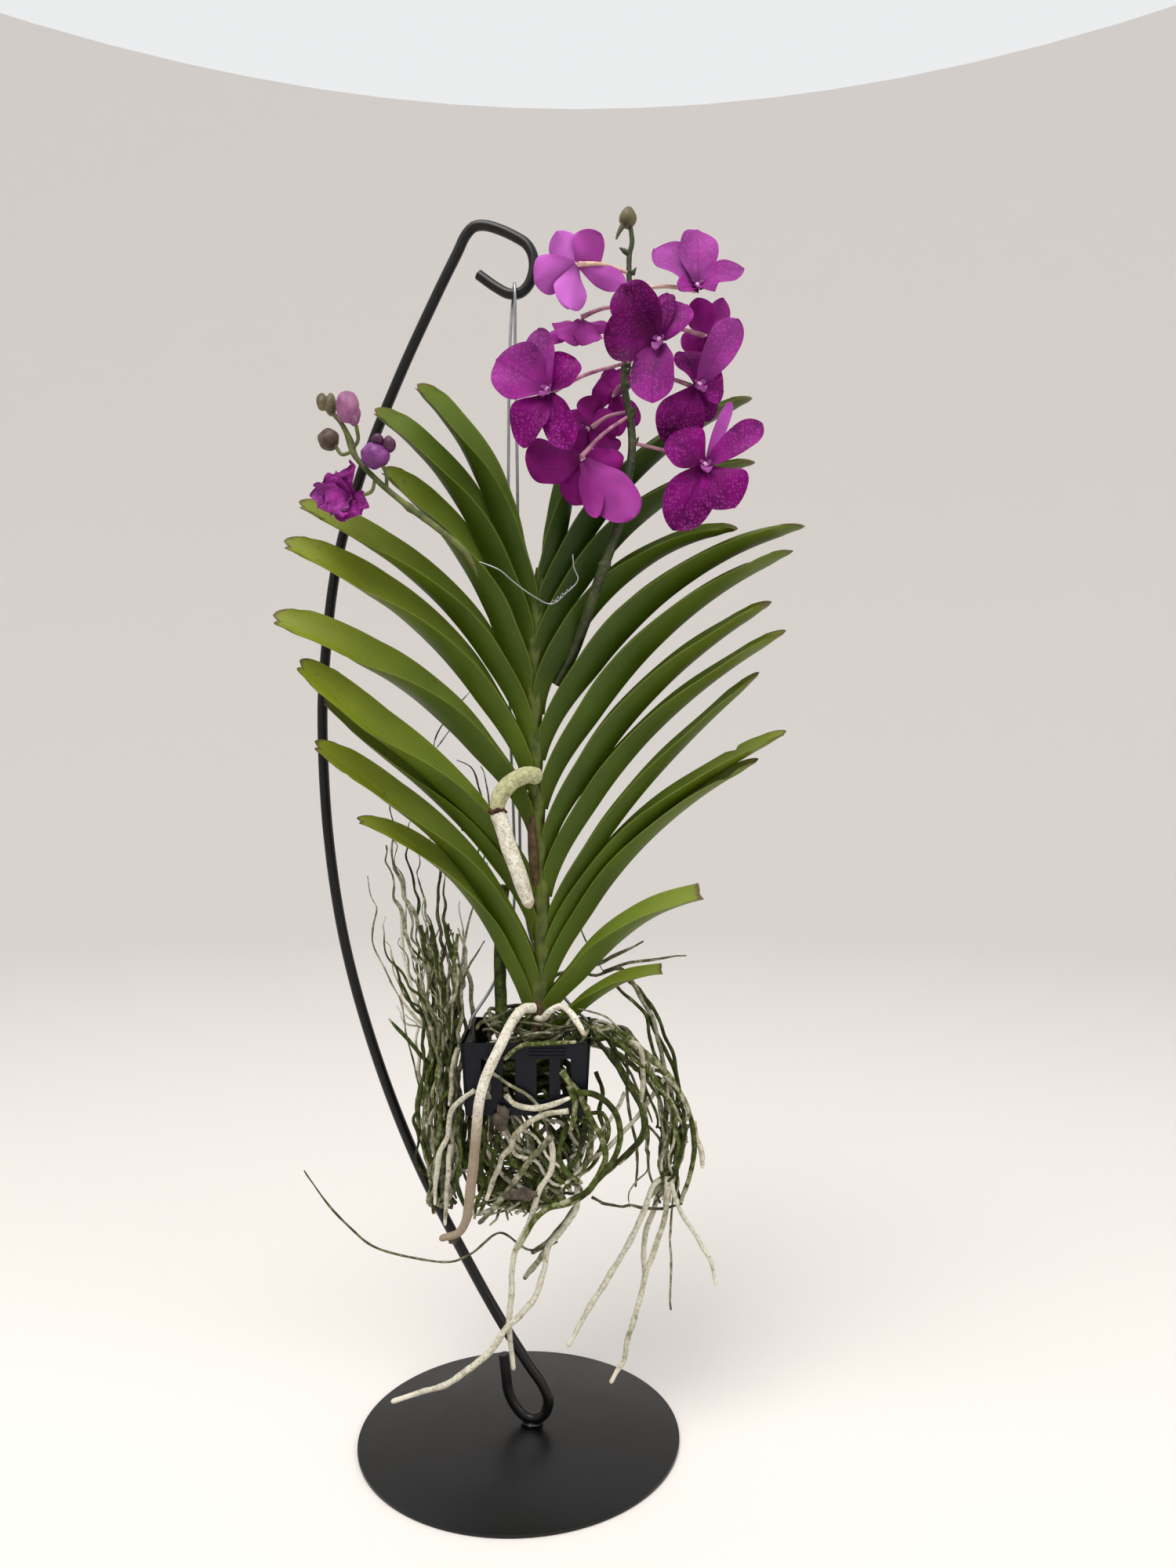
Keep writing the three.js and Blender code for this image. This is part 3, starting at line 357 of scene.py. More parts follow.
# Hanger: one length of 2.5 mm galvanised wire doubled over the hook, each end bent over the
# basket's rim. Drawn wire has fine lines along it, and zinc gives it a dull blue-grey shine.
galvanised, tree, shader = new_surface("galvanised_wire", Metallic=1.0, Roughness=0.38)
place = add_node(tree, "ShaderNodeTexCoord").outputs["Object"]
cloud = add_node(tree, "ShaderNodeTexNoise", {"Scale": 160.0, "Detail": 3.0}, {"Vector": place})
zinc = add_node(tree, "ShaderNodeMix", {6: linear("#7f8487"), 7: linear("#b4b8ba")},
                {0: cloud.outputs[0]}, data_type="RGBA")
tree.links.new(zinc.outputs[2], shader.inputs["Base Color"])
HANGER_RADIUS = 1.25
HANGER = [
    (-40.2, 6, 316.5), (-39.5, 7, 322), (-22, 18, 350), (-8, 21, 390), (-9, 20, 573), (-10, 18, 698),
    (-10, 18, 784), (-9, 18, 858), (-7, 18, 893), (-6, 17.6, 901), (-5.5, 15, 906), (-5, 11, 907.6),
    (-4.5, 7, 906), (-4, 4.6, 900), (-4, 4.4, 890), (-4, 7, 850), (-3, 11, 784), (-2, 13, 698),
    (-1, 14, 573), (2, 16, 420), (14, 17, 370), (42, 10, 332), (53.4, 7, 322), (54.2, 6, 316.5),
]
hanger_strand = [(*p, HANGER_RADIUS) for p in smooth_line(HANGER, 4)]
hanger = grow("hanger_strands", [hanger_strand], galvanised, sides=12)
fit(hanger, "galvanised_wire", "hanger_wire")


# Basket: a 97 mm square orchid basket injection moulded in black-navy polypropylene. Each wall is
# a rim band with three fine ribs, a foot band, and posts between tall slots; bars make its floor.
def moulded_plastic():
    """Polypropylene from a lightly textured mould: dull, with dried water marks."""
    material, tree, shader = new_surface("moulded_polypropylene", Roughness=0.45, IOR=1.49,
                                         Specular_IOR_Level=0.25)
    place = add_node(tree, "ShaderNodeTexCoord").outputs["Object"]
    marks = add_node(tree, "ShaderNodeTexNoise", {"Scale": 70.0, "Detail": 8.0, "Roughness": 0.7},
                     {"Vector": place})
    sharp = add_node(tree, "ShaderNodeMapRange", {"From Min": 0.55, "From Max": 0.75},
                     {"Value": marks.outputs[0]})
    colour = add_node(tree, "ShaderNodeMix", {6: linear("#020612"), 7: linear("#0b1222")},
                      {0: sharp.outputs[0]}, data_type="RGBA")
    grain = add_node(tree, "ShaderNodeTexNoise", {"Scale": 900.0}, {"Vector": place})
    bump = add_node(tree, "ShaderNodeBump", {"Strength": 0.15, "Distance": 0.0002},
                    {"Height": grain.outputs[0]})
    tree.links.new(colour.outputs[2], shader.inputs["Base Color"])
    tree.links.new(bump.outputs[0], shader.inputs["Normal"])
    return material


BASKET_X, BASKET_Y, BASKET_LOW, BASKET_TALL = 7, 6, 261, 55
BASKET_TOP, BASKET_FOOT, WALL_THICK = 97, 91, 2.6
CORNER = 60
FOOT_BAND, RIM_BAND, RIM_LIP = (0, 12), (43, 55), (53.2, 55)
RIBS_ALONG = (2, 30)
RIBS = [(44.5 + 2.8 * k, 45.8 + 2.8 * k) for k in range(3)]
POST_HEIGHTS = (11, 44)
POSTS = [(-48, -33.5), (-26, -17.5), (-8, 8), (17.5, 26), (33.5, 48)]
BAR_PLACES, BAR_HALF, BAR_REACH, BAR_THICK = (-38, -19, 0, 19, 38), 3, 44, 3
CROSS_PLACES, CROSS_HALF, CROSS_REACH = (-38, 38), 5, 43


def basket_half(height):
    """Half the basket's outside width at a height above its foot."""
    return (BASKET_FOOT + (BASKET_TOP - BASKET_FOOT) * height / BASKET_TALL) / 2


def wall_slab(side, left, right, low, high, proud=0.0):
    """Eight corners of a bar in one of the four walls, following the wall's slope."""
    corners = []
    for height in (low, high):
        half = basket_half(height)
        l, r = max(left, -half - proud), min(right, half + proud)
        for depth in (half + proud, half - WALL_THICK):
            corners += [(l, -depth, height), (r, -depth, height)]
    turn = side * math.pi / 2
    return [(BASKET_X + x * math.cos(turn) - y * math.sin(turn),
             BASKET_Y + x * math.sin(turn) + y * math.cos(turn), BASKET_LOW + z) for x, y, z in corners]


SLAB_FACES = [(0, 1, 5, 4), (2, 6, 7, 3), (0, 4, 6, 2), (1, 3, 7, 5), (0, 2, 3, 1), (4, 5, 7, 6)]


def basket_mesh():
    """Corners and faces of all the basket's bars: four walls, then the two ways of floor bars."""
    slabs = []
    for side in range(4):
        slabs.append(wall_slab(side, -CORNER, CORNER, *FOOT_BAND))
        slabs.append(wall_slab(side, -CORNER, CORNER, *RIM_BAND))
        slabs.append(wall_slab(side, -CORNER, CORNER, *RIM_LIP, proud=0.5))
        slabs += [wall_slab(side, *RIBS_ALONG, *rib, proud=1) for rib in RIBS]
        slabs += [wall_slab(side, *post, *POST_HEIGHTS) for post in POSTS]
    floor = (BASKET_LOW, BASKET_LOW + BAR_THICK)
    for x in BAR_PLACES:
        slabs.append([(BASKET_X + x + w, BASKET_Y + y, z) for z in floor
                      for y in (-BAR_REACH, BAR_REACH) for w in (-BAR_HALF, BAR_HALF)])
    for y in CROSS_PLACES:
        slabs.append([(BASKET_X + x, BASKET_Y + y + w, z) for z in floor
                      for w in (-CROSS_HALF, CROSS_HALF) for x in (-CROSS_REACH, CROSS_REACH)])
    vertices, faces = [], []
    for slab in slabs:
        start = len(vertices)
        vertices += [(x / 1000, y / 1000, z / 1000) for x, y, z in slab]
        faces += [tuple(start + i for i in face) for face in SLAB_FACES]
    return vertices, faces


EDGE_ROUND = 0.0004
polypropylene = moulded_plastic()
basket = mesh_object("slotted_basket", *basket_mesh(), [polypropylene], smooth=False)
rounded = basket.modifiers.new("moulded_edges", "BEVEL")
rounded.width = EDGE_ROUND
rounded.segments = 2
fit(basket, "basket_plastic", "basket")


# Stem: the vanda's single upright stem, as thick as a pencil. Its green skin is wrapped in the
# papery brown remains of old leaf sheaths, which split and stand off it near the bottom.
def plant_skin(name, dark, light, rough, scale=60.0, bump_mm=0.3, specks=None):
    """Living or dry plant tissue: two tones in soft patches with fine grain along it."""
    material, tree, shader = new_surface(name, Roughness=rough, IOR=1.42)
    place = add_node(tree, "ShaderNodeTexCoord").outputs["Object"]
    patches = add_node(tree, "ShaderNodeTexNoise", {"Scale": scale, "Detail": 5.0, "Roughness": 0.6},
                       {"Vector": place})
    spread = add_node(tree, "ShaderNodeMapRange", {"From Min": 0.32, "From Max": 0.68},
                      {"Value": patches.outputs[0]})
    colour = add_node(tree, "ShaderNodeMix", {6: linear(dark), 7: linear(light)},
                      {0: spread.outputs[0]}, data_type="RGBA")
    paint = colour.outputs[2]
    if specks:
        dots = add_node(tree, "ShaderNodeTexNoise", {"Scale": scale * 5, "Detail": 2.0},
                        {"Vector": place})
        shown = add_node(tree, "ShaderNodeMapRange", {"From Min": 0.6, "From Max": 0.68},
                         {"Value": dots.outputs[0]})
        mixed = add_node(tree, "ShaderNodeMix", {7: linear(specks)}, {0: shown.outputs[0], 6: paint},
                         data_type="RGBA")
        paint = mixed.outputs[2]
    fine = add_node(tree, "ShaderNodeTexNoise", {"Scale": scale * 8, "Detail": 3.0},
                    {"Vector": place})
    bump = add_node(tree, "ShaderNodeBump", {"Strength": 0.5, "Distance": bump_mm / 1000},
                    {"Height": fine.outputs[0]})
    tree.links.new(paint, shader.inputs["Base Color"])
    tree.links.new(bump.outputs[0], shader.inputs["Normal"])
    return material


STEM_RADIUS, STEM_THINS = 4, 1 / 370
JOINT_RISE, JOINT_PITCH = 0.5, 7.5
stem_skin = plant_skin("sheathed_stem", "#3a3418", "#6f7434", 0.65, 90, 0.5, specks="#5a4128")
STEM_LINE = [
    (12, -2, 296), (14, -5, 312), (16, -8, 336), (18, -8, 388), (17, -8, 431), (15, -8, 473),
    (13, -8, 510), (12, -8, 540), (12, -8, 571), (11, -8, 601), (13, -8, 632), (15, -8, 650),
    (15, -8, 666),
]


def stem_axis(height):
    """The stem's middle at a height, straight between its given points."""
    if height >= STEM_LINE[-1][2]:
        return Vector((*STEM_LINE[-1][:2], height))
    for low, high in zip(STEM_LINE, STEM_LINE[1:]):
        if high[2] > height:
            share = (height - low[2]) / (high[2] - low[2])
            return Vector(low).lerp(Vector(high), share)


def stem_radius(height):
    return STEM_RADIUS - (height - STEM_LINE[0][2]) * STEM_THINS


stem_strand = [(*p, stem_radius(p.z) + JOINT_RISE * abs(math.sin(p.z / JOINT_PITCH)))
               for p in smooth_line(STEM_LINE, 2)]
stem = grow("sheathed_stem", [stem_strand], stem_skin, sides=16, lump=0.8, spacing=5)
fit(stem, "stem", "stem")

# Leaves: two flat ranks of leathery straps, each folded along its middle and clasping the stem
# with its base, arching out to a blunt notched tip. The two lowest on the right are cut off.
LEFT, RIGHT = -1, 1
LEAF_THICK = 1.2
LEAF_RINGS = 56
LEAF_ACROSS = 7
SHEATH = 24
STEM_STRIP = 0.4
FOOT_CLEAR = 4.8
FOOT_HALF_MAX = 14
# How much wider a blade gets than its given half width, and what share it loses towards its tip
WIDENS = {LEFT: 1.2, RIGHT: 1.3}
NARROWS = {LEFT: 0.3, RIGHT: 0.2}
LEAVES = [
    # tone: painted shade, low for the upper and right leaves in shadow; the old low leaves are paler
    # name, row, base, tip, rise, fall, half, roll, tone, yellow tip, back, cut
    ("left_01", LEFT, 664, (-78, -14, 821), 74, 38, 20, 34, 0.25, 0.2, 0, False),
    ("left_02", LEFT, 637, (-111, -16, 801), 72, 29, 20, 36, 0.3, 0.2, 0, False),
    ("left_03", LEFT, 577, (-84, 24, 757), 72, 50, 13, 10, 0.25, 0.1, 10.6, False),
    ("left_04", LEFT, 593, (-104, -18, 755), 76, 32, 21, 36, 0.42, 0.4, 0, False),
    ("left_05", LEFT, 556, (-170, -16, 729), 78, 20, 19, 40, 0.5, 0.7, 0, False),
    ("left_06", LEFT, 529, (-181, -18, 698), 70, 17, 20, 44, 0.62, 0.9, 0, False),
    ("left_07", LEFT, 496, (-190, -16, 641), 64, 14, 21, 46, 0.55, 0.8, 0, False),
    ("left_08", LEFT, 440, (-168, -20, 606), 62, 38, 20, 44, 0.6, 0.7, 0, False),
    ("left_09", LEFT, 412, (-153, -4, 578), 70, 42, 12, 34, 0.55, 0.6, 0, False),
    ("left_10", LEFT, 368, (-159, -10, 544), 75, 29, 17, 42, 0.55, 0.9, 0, False),
    ("left_11", LEFT, 342, (-126, -12, 484), 76, 11, 12, 40, 0.6, 0.7, 0, False),
    ("right_00", RIGHT, 676, (42, -4, 778), 80, 78, 16, 30, 0.1, 0.1, 0, False),
    ("right_01", RIGHT, 650, (182, -4, 815), 74, 20, 18, 20, 0.12, 0.2, 0, False),
    ("right_02", RIGHT, 624, (185, -2, 765), 72, 9, 18, 16, 0.2, 0.2, 0, False),
    ("right_03", RIGHT, 588, (171, -6, 712), 80, 3, 17, 20, 0.28, 0.3, 0, False),
    ("right_04", RIGHT, 552, (223, -8, 714), 68, 12, 20, 12, 0.3, 0.3, 0, False),
    ("right_05", RIGHT, 514, (213, -10, 694), 68, 22, 19, 8, 0.38, 0.3, 0, False),
    ("right_06", RIGHT, 477, (196, -10, 654), 69, 29, 18, 10, 0.4, 0.4, 0, False),
    ("right_07", RIGHT, 446, (207, -12, 631), 71, 29, 15, 10, 0.45, 0.4, 0, False),
    ("right_08", RIGHT, 417, (186, -12, 598), 64, 41, 12, 10, 0.45, 0.3, 0, False),
    ("right_09", RIGHT, 393, (208, -8, 553), 69, 26, 14, 14, 0.5, 0.5, 0, False),
    ("right_10", RIGHT, 371, (186, -10, 531), 69, 26, 13, 12, 0.5, 0.4, 0, False),
    ("right_11", RIGHT, 350, (141, -14, 427), 58, 11, 15, 20, 0.75, 0.3, 0, True),
    ("right_12", RIGHT, 334, (111, -14, 367), 42, 2, 9, 20, 0.75, 0.3, 0, True),
]
# Where a leaf's edge is bitten or torn: leaf, side, place along, depth, reach along
NICKS = [
    ("left_07", 1, 0.74, 0.3, 0.012), ("left_09", 1, 0.93, 0.7, 0.05), ("left_09", -1, 0.86, 0.35, 0.02),
    ("left_10", 1, 0.88, 0.2, 0.02), ("right_09", -1, 0.85, 0.25, 0.015), ("right_10", 1, 0.93, 0.45, 0.04),
    ("right_05", -1, 0.96, 0.4, 0.03), ("left_05", 1, 0.95, 0.3, 0.02),
]
CURVE_MARKS = 200


def smoothstep(value, low, high):
    """0 up to low, 1 from high on, and an even swing between them."""
    share = min(1, max(0, (value - low) / (high - low)))
    return share * share * (3 - 2 * share)


def sine(degrees):
    return math.sin(math.radians(degrees))


def cosine(degrees):
    return math.cos(math.radians(degrees))


def leaf_curve(start, row, tip, rise, fall):
    """Points and tangents of the leaf's midline by their share of its length."""
    end = Vector(tip)
    reach = 0.36 * (end - start).length
    leave = Vector((row * cosine(rise + 7), 0, sine(rise + 7)))
    arrive = Vector((row * cosine(fall), 0, sine(fall)))
    handles = [start, start + reach * leave, end - reach * arrive, end]

    def spot(u):
        v = 1 - u
        a, b, c, d = handles
        return a * v ** 3 + 3 * b * v * v * u + 3 * c * v * u * u + d * u ** 3

    marks = [spot(k / CURVE_MARKS) for k in range(CURVE_MARKS + 1)]
    lengths = [0]
    for a, b in zip(marks, marks[1:]):
        lengths.append(lengths[-1] + (b - a).length)

    def at(share):
        goal = min(max(share, 0), 1) * lengths[-1]
        k = next(i for i in range(1, CURVE_MARKS + 1) if lengths[i] >= goal - 1e-9)
        u = (k - 1 + (goal - lengths[k - 1]) / (lengths[k] - lengths[k - 1])) / CURVE_MARKS
        before, after = spot(max(0, u - 0.002)), spot(min(1, u + 0.002))
        return spot(u), (after - before).normalized()

    return at


def lobe_retreat(side, t, cut):
    """How far the tip's outline stands back, as a share of the leaf's length."""
    if cut:
        return 0.006 * math.sin(7 * t + side)
    notch = 0.022 * math.exp(-(t / 0.16) ** 2)
    rounding = 0.05 * t ** 3.5
    shorter = 0.014 if side > 0 else 0
    return notch + rounding + shorter * min(1, 4 * t)


def leaf_mesh(name, row, base, tip, rise, fall, half, roll, back, cut, seed):
    """A thin closed folded blade with values for its shader: across, along and inner."""
    start = stem_axis(base - SHEATH)
    start.x += row * (stem_radius(base) + FOOT_CLEAR - 0.3 * (11 - min(11, 0.7 * half)))
    start.y += back
    at_base = min(FOOT_HALF_MAX, 0.95 * half)
    curve = leaf_curve(start, row, tip, rise, fall)
    toward = Vector((0, -1, 0))
    edge_x = stem_axis(base).x
    vertices, across_of, along_of, inner_of = [], [], [], []
    shares = [k / (LEAF_RINGS - 1) for k in range(LEAF_RINGS)]
    for share in shares:
        _, tangent = curve(share)
        rise90 = Vector((-row * tangent.z, 0, row * tangent.x)).normalized()
        turn = roll * smoothstep(share, 0.12, 0.9)
        up = rise90 * cosine(turn) + toward * sine(turn)
        sideways = toward * cosine(turn) - rise90 * sine(turn)
        opening = 26 + 10 * (1 - smoothstep(share, 0, 0.2)) + 36 * smoothstep(share, 0.15, 1)
        taper = 1 - NARROWS[row] * smoothstep(share, 0.55, 0.97)
        width = (at_base + (WIDENS[row] * half - at_base) * smoothstep(share, 0, 0.45)) * taper
        width *= 0.25 + 0.75 * smoothstep(share, 0, 0.07)
        width *= 1 + 0.03 * noise.noise(Vector((share * 6, seed, 0)))
        if not cut:
            width *= 1 - 0.25 * smoothstep(share, 0.93, 1)
        top = width * cosine(opening - turn)
        foot = min(0, width * cosine(opening + turn))
        drop = (top + foot) / 2 * smoothstep(share, 0, 0.3)
        ring = []
        for inner in (False, True):
            row_points = []
            for side in (1, -1):
                leg = up * cosine(opening) + sideways * (side * sine(opening))
                inward = up * sine(opening) - sideways * (side * cosine(opening))
                nick = 1.0
                for who, which, place_at, depth, long in NICKS:
                    if who == name and which == side:
                        nick -= depth * math.exp(-((share - place_at) / long) ** 2)
                for k in range(LEAF_ACROSS, -1, -1) if side > 0 else range(1, LEAF_ACROSS + 1):
                    t = k / LEAF_ACROSS
                    retreat = lobe_retreat(side, t, cut) * smoothstep(share, 0.8, 1)
                    fold, _ = curve(share - retreat)
                    fold = fold - rise90 * drop
                    wave = 0.5 * math.sin(share * 19 + seed + side) * t * t * smoothstep(share, 0.2, 0.5)
                    camber = 0.07 * width * math.sin(math.pi * t) * smoothstep(share, 0.05, 0.4)
                    thick = LEAF_THICK * (1 - 0.62 * t * t)
                    thick *= 0.55 + 0.45 * (1 - smoothstep(share, 0.3, 1))
                    reach = width * t * (nick if t > 0.3 else 1 - (1 - nick) * t / 0.3)
                    point = fold + leg * reach - inward * (camber + wave)
                    limit = STEM_STRIP - row * (point.x - edge_x)
                    if limit > 0 and row * leg.x < 0 and share < 0.35:
                        point -= leg * (limit / (-row * leg.x))
                    if inner:
                        point += inward * thick
                    row_points.append((point, side * t, 1.0 if inner else 0.0))
            ring += row_points if not inner else row_points[::-1]
        for point, across, inside in ring:
            vertices.append(point / 1000)
            across_of.append(across)
            along_of.append(share)
            inner_of.append(inside)
    size = 2 * (2 * LEAF_ACROSS + 1)
    faces = []
    for i in range(LEAF_RINGS - 1):
        for j in range(size):
            a, b = i * size + j, i * size + (j + 1) % size
            faces.append((a, b, b + size, a + size))
    last = (LEAF_RINGS - 1) * size
    for j in range(size // 2 - 1):
        faces.append((j + 1, j, size - 1 - j, size - 2 - j))
        faces.append((last + j, last + j + 1, last + size - 2 - j, last + size - 1 - j))
    return vertices, faces, {"across": across_of, "along": along_of, "inner": inner_of}


def outward(piece):
    """Turns all of a closed mesh's faces outwards if its volume comes out negative."""
    mesh = piece.data
    volume = 0
    for face in mesh.polygons:
        corners = [mesh.vertices[i].co for i in face.vertices]
        for b, c in zip(corners[1:], corners[2:]):
            volume += corners[0].dot(b.cross(c))
    if volume < 0:
        mesh.flip_normals()


def keep_values(piece, values):
    """Stores a number per vertex under each name, for the materials to read."""
    for name, numbers in values.items():
        layer = piece.data.attributes.new(name, "FLOAT", "POINT")
        layer.data.foreach_set("value", numbers)


def leaf_skin(name, tone, yellow, cut):
    """Fresh leathery leaf: waxy satin skin, fine veins 1.5 mm apart, a paler edge, a yellowed and
    browned tip. Its inner face is painted paler as painted light, its outer face darker as painted shade."""
    material, tree, shader = new_surface(name, IOR=1.45, Specular_IOR_Level=0.32, Subsurface_Weight=0.05,
                                         Subsurface_Radius=(0.4, 0.8, 0.1), Subsurface_Scale=0.002)
    place = add_node(tree, "ShaderNodeTexCoord").outputs["Object"]
    across = add_node(tree, "ShaderNodeAttribute", attribute_name="across").outputs["Fac"]
    along = add_node(tree, "ShaderNodeAttribute", attribute_name="along").outputs["Fac"]
    inner = add_node(tree, "ShaderNodeAttribute", attribute_name="inner").outputs["Fac"]
    patches = add_node(tree, "ShaderNodeTexNoise", {"Scale": 22.0, "Detail": 4.0}, {"Vector": place})
    mottled = add_node(tree, "ShaderNodeMapRange", {"From Min": 0.3, "From Max": 0.7},
                       {"Value": patches.outputs[0]}).outputs[0]
    # tone is painted shade, darker for the upper and right leaves in shadow; old low leaves are paler
    # yellow-green
    shade = lambda dark, light: tuple(a + (b - a) * tone for a, b in zip(linear(dark), linear(light)))
    # Painted light and shade: the outer face takes darker greens as painted shade, the inner face paler ones
    # as painted light
    shaded_outer_colour = add_node(tree, "ShaderNodeMix",
                            {6: shade("#142806", "#4a5c06"), 7: shade("#1b3608", "#5c700a")},
                            {0: mottled}, data_type="RGBA").outputs[2]
    lit_inner_colour = add_node(tree, "ShaderNodeMix",
                            {6: shade("#1e3a08", "#667a0a"), 7: shade("#2a4a0c", "#7e9014")},
                            {0: mottled}, data_type="RGBA").outputs[2]
    body = add_node(tree, "ShaderNodeMix", links={0: inner, 6: shaded_outer_colour, 7: lit_inner_colour},
                    data_type="RGBA").outputs[2]
    # Veins run the leaf's length: 22 to a leaf's width are as many as still show
    veins_at = add_node(tree, "ShaderNodeMath", {1: 70.0}, {0: across}, operation="MULTIPLY").outputs[0]
    veins = add_node(tree, "ShaderNodeMath", links={0: veins_at}, operation="SINE").outputs[0]
    vein_share = add_node(tree, "ShaderNodeMapRange", {"From Min": 0.2, "From Max": 1.0, "To Max": 0.22},
                          {"Value": veins}).outputs[0]
    veined = add_node(tree, "ShaderNodeMix", {7: shade("#2f500e", "#7a8c1c")}, {0: vein_share, 6: body},
                      data_type="RGBA").outputs[2]
    # The old end yellows, most of all along its margins
    ageing = add_node(tree, "ShaderNodeMapRange", {"From Min": 0.45, "From Max": 1.0, "To Max": yellow},
                      {"Value": along}).outputs[0]
    aged = add_node(tree, "ShaderNodeMix", {7: linear("#7a8418")}, {0: ageing, 6: veined},
                    data_type="RGBA").outputs[2]
    # The clasping base is pale yellow-green
    clasp = add_node(tree, "ShaderNodeMapRange",
                     {"From Min": 0.16, "From Max": 0.0, "To Max": 0.15 + 0.4 * tone},
                     {"Value": along}).outputs[0]
    based = add_node(tree, "ShaderNodeMix", {7: linear("#5c661a")}, {0: clasp, 6: aged},
                     data_type="RGBA").outputs[2]
    margin = add_node(tree, "ShaderNodeMath", links={0: across}, operation="ABSOLUTE").outputs[0]
    pale_edge = add_node(tree, "ShaderNodeMapRange", {"From Min": 0.93, "From Max": 1.0, "To Max": 0.4},
                         {"Value": margin}).outputs[0]
    edged = add_node(tree, "ShaderNodeMix", {7: linear("#7a8632")}, {0: pale_edge, 6: based},
                     data_type="RGBA").outputs[2]
    rough_noise = add_node(tree, "ShaderNodeTexNoise", {"Scale": 260.0, "Detail": 3.0}, {"Vector": place})
    worn = add_node(tree, "ShaderNodeMath", {1: 0.03}, {0: rough_noise.outputs[0]},
                    operation="MULTIPLY").outputs[0]
    reach = add_node(tree, "ShaderNodeMath", links={0: along, 1: worn}, operation="ADD").outputs[0]
    dry_from = 0.985 if cut else 0.998
    dry = add_node(tree, "ShaderNodeMapRange", {"From Min": dry_from, "From Max": dry_from + 0.014},
                   {"Value": reach}).outputs[0]
    dried = add_node(tree, "ShaderNodeMix", {7: linear("#5a4c22")}, {0: dry, 6: edged},
                     data_type="RGBA").outputs[2]
    scars = add_node(tree, "ShaderNodeTexNoise", {"Scale": 120.0, "Detail": 2.0}, {"Vector": place})
    scar_share = add_node(tree, "ShaderNodeMapRange", {"From Min": 0.7, "From Max": 0.76, "To Max": 0.6},
                          {"Value": scars.outputs[0]}).outputs[0]
    scarred = add_node(tree, "ShaderNodeMix", {7: linear("#4a4a22")}, {0: scar_share, 6: dried},
                       data_type="RGBA").outputs[2]
    gloss = add_node(tree, "ShaderNodeMapRange", {"To Min": 0.36, "To Max": 0.52},
                     {"Value": mottled}).outputs[0]
    grooves = add_node(tree, "ShaderNodeBump", {"Strength": 0.35, "Distance": 0.00025},
                       {"Height": veins})
    tree.links.new(scarred, shader.inputs["Base Color"])
    tree.links.new(gloss, shader.inputs["Roughness"])
    tree.links.new(grooves.outputs[0], shader.inputs["Normal"])
    return material


for number, (name, row, base, tip, rise, fall, half, roll, tone, yellow, back, cut) in enumerate(LEAVES):
    vertices, faces, values = leaf_mesh(name, row, base, tip, rise, fall, half, roll, back, cut, number)
    skin = leaf_skin("leaf_skin_" + name, tone, yellow, cut)
    leaf = mesh_object("strap_" + name, vertices, faces, [skin])
    outward(leaf)
    keep_values(leaf, values)
    leaf.data.set_sharp_from_angle(angle=math.radians(65))
    fit(leaf, "leaf_shaded" if base > 600 else "leaf", "leaf_" + name)

# Leaf bases: each leaf's foot wraps the stem as a closed sleeve, yellow-green, that ends a little
# above where the leaf leaves it.
sleeve_skin = plant_skin("leaf_sleeve", "#2e3a08", "#56611a", 0.5, 90, 0.25)
# How far below the leaf's base, off the stem's skin and out to the leaf's side
SLEEVE = [(46, 0.4, 0), (34, 1.5, 0.4), (20, 2.6, 0.9), (8, 2.2, 1.4), (-2, 0.8, 1.8)]
SLEEVES_FROM = 300
sleeves = []
for name, row, base, *_ in LEAVES:
    sleeve = []
    for lower, grown, aside in SLEEVE:
        middle = stem_axis(max(base - lower, SLEEVES_FROM))
        sleeve.append((middle.x + row * aside, middle.y, middle.z, stem_radius(middle.z) + grown))
    sleeves.append(sleeve)
fit(grow("leaf_sleeves", sleeves, sleeve_skin, sides=14, lump=0.3, spacing=6), "leaf")
husk_brown = plant_skin("dead_sleeve", "#2a1c10", "#5f4a30", 0.85, 140, 0.6)
DEAD_SLEEVES = [
    [(11, -13, 486, 1.5), (10, -14.5, 474, 3.2), (11, -15.5, 458, 3.8), (12, -15, 444, 3.4),
     (13, -12, 430, 2)],
    [(15, -10, 350, 2), (16, -12, 338, 3.6), (14, -13, 322, 4.2), (13, -9, 306, 4)],
]
fit(grow("dead_sleeves", DEAD_SLEEVES, husk_brown, sides=12, lump=1.2, spacing=4), "stem")

# Crown tie: a short thin silver wire that holds the crown's leaves to the hanger, twisted at its
# right end, from which the cut tail stands up.
TIE_RADIUS, TWIST_RADIUS = 0.6, 0.5
TIE = [(-29, -30.6, 678.4), (-20, -32, 675), (-12, -33, 671), (-4, -33, 664), (12, -35, 652),
       (26, -34, 646), (37, -35, 654), (46, -36, 664), (43, -36, 673), (42, -36, 683)]
COIL = 1.3
TWIST = [(26 + 0.55 * k, -35 + COIL * math.cos(k), 646.5 + 0.42 * k + COIL * math.sin(k))
         for k in range(28)]
tie_strands = [[(*p, TIE_RADIUS) for p in smooth_line(TIE, 2)],
               [(*p, TWIST_RADIUS) for p in smooth_line(TWIST, 1)]]
tie = grow("crown_tie", tie_strands, galvanised, sides=8)
fit(tie, "galvanised_wire", "crown_tie_wire")


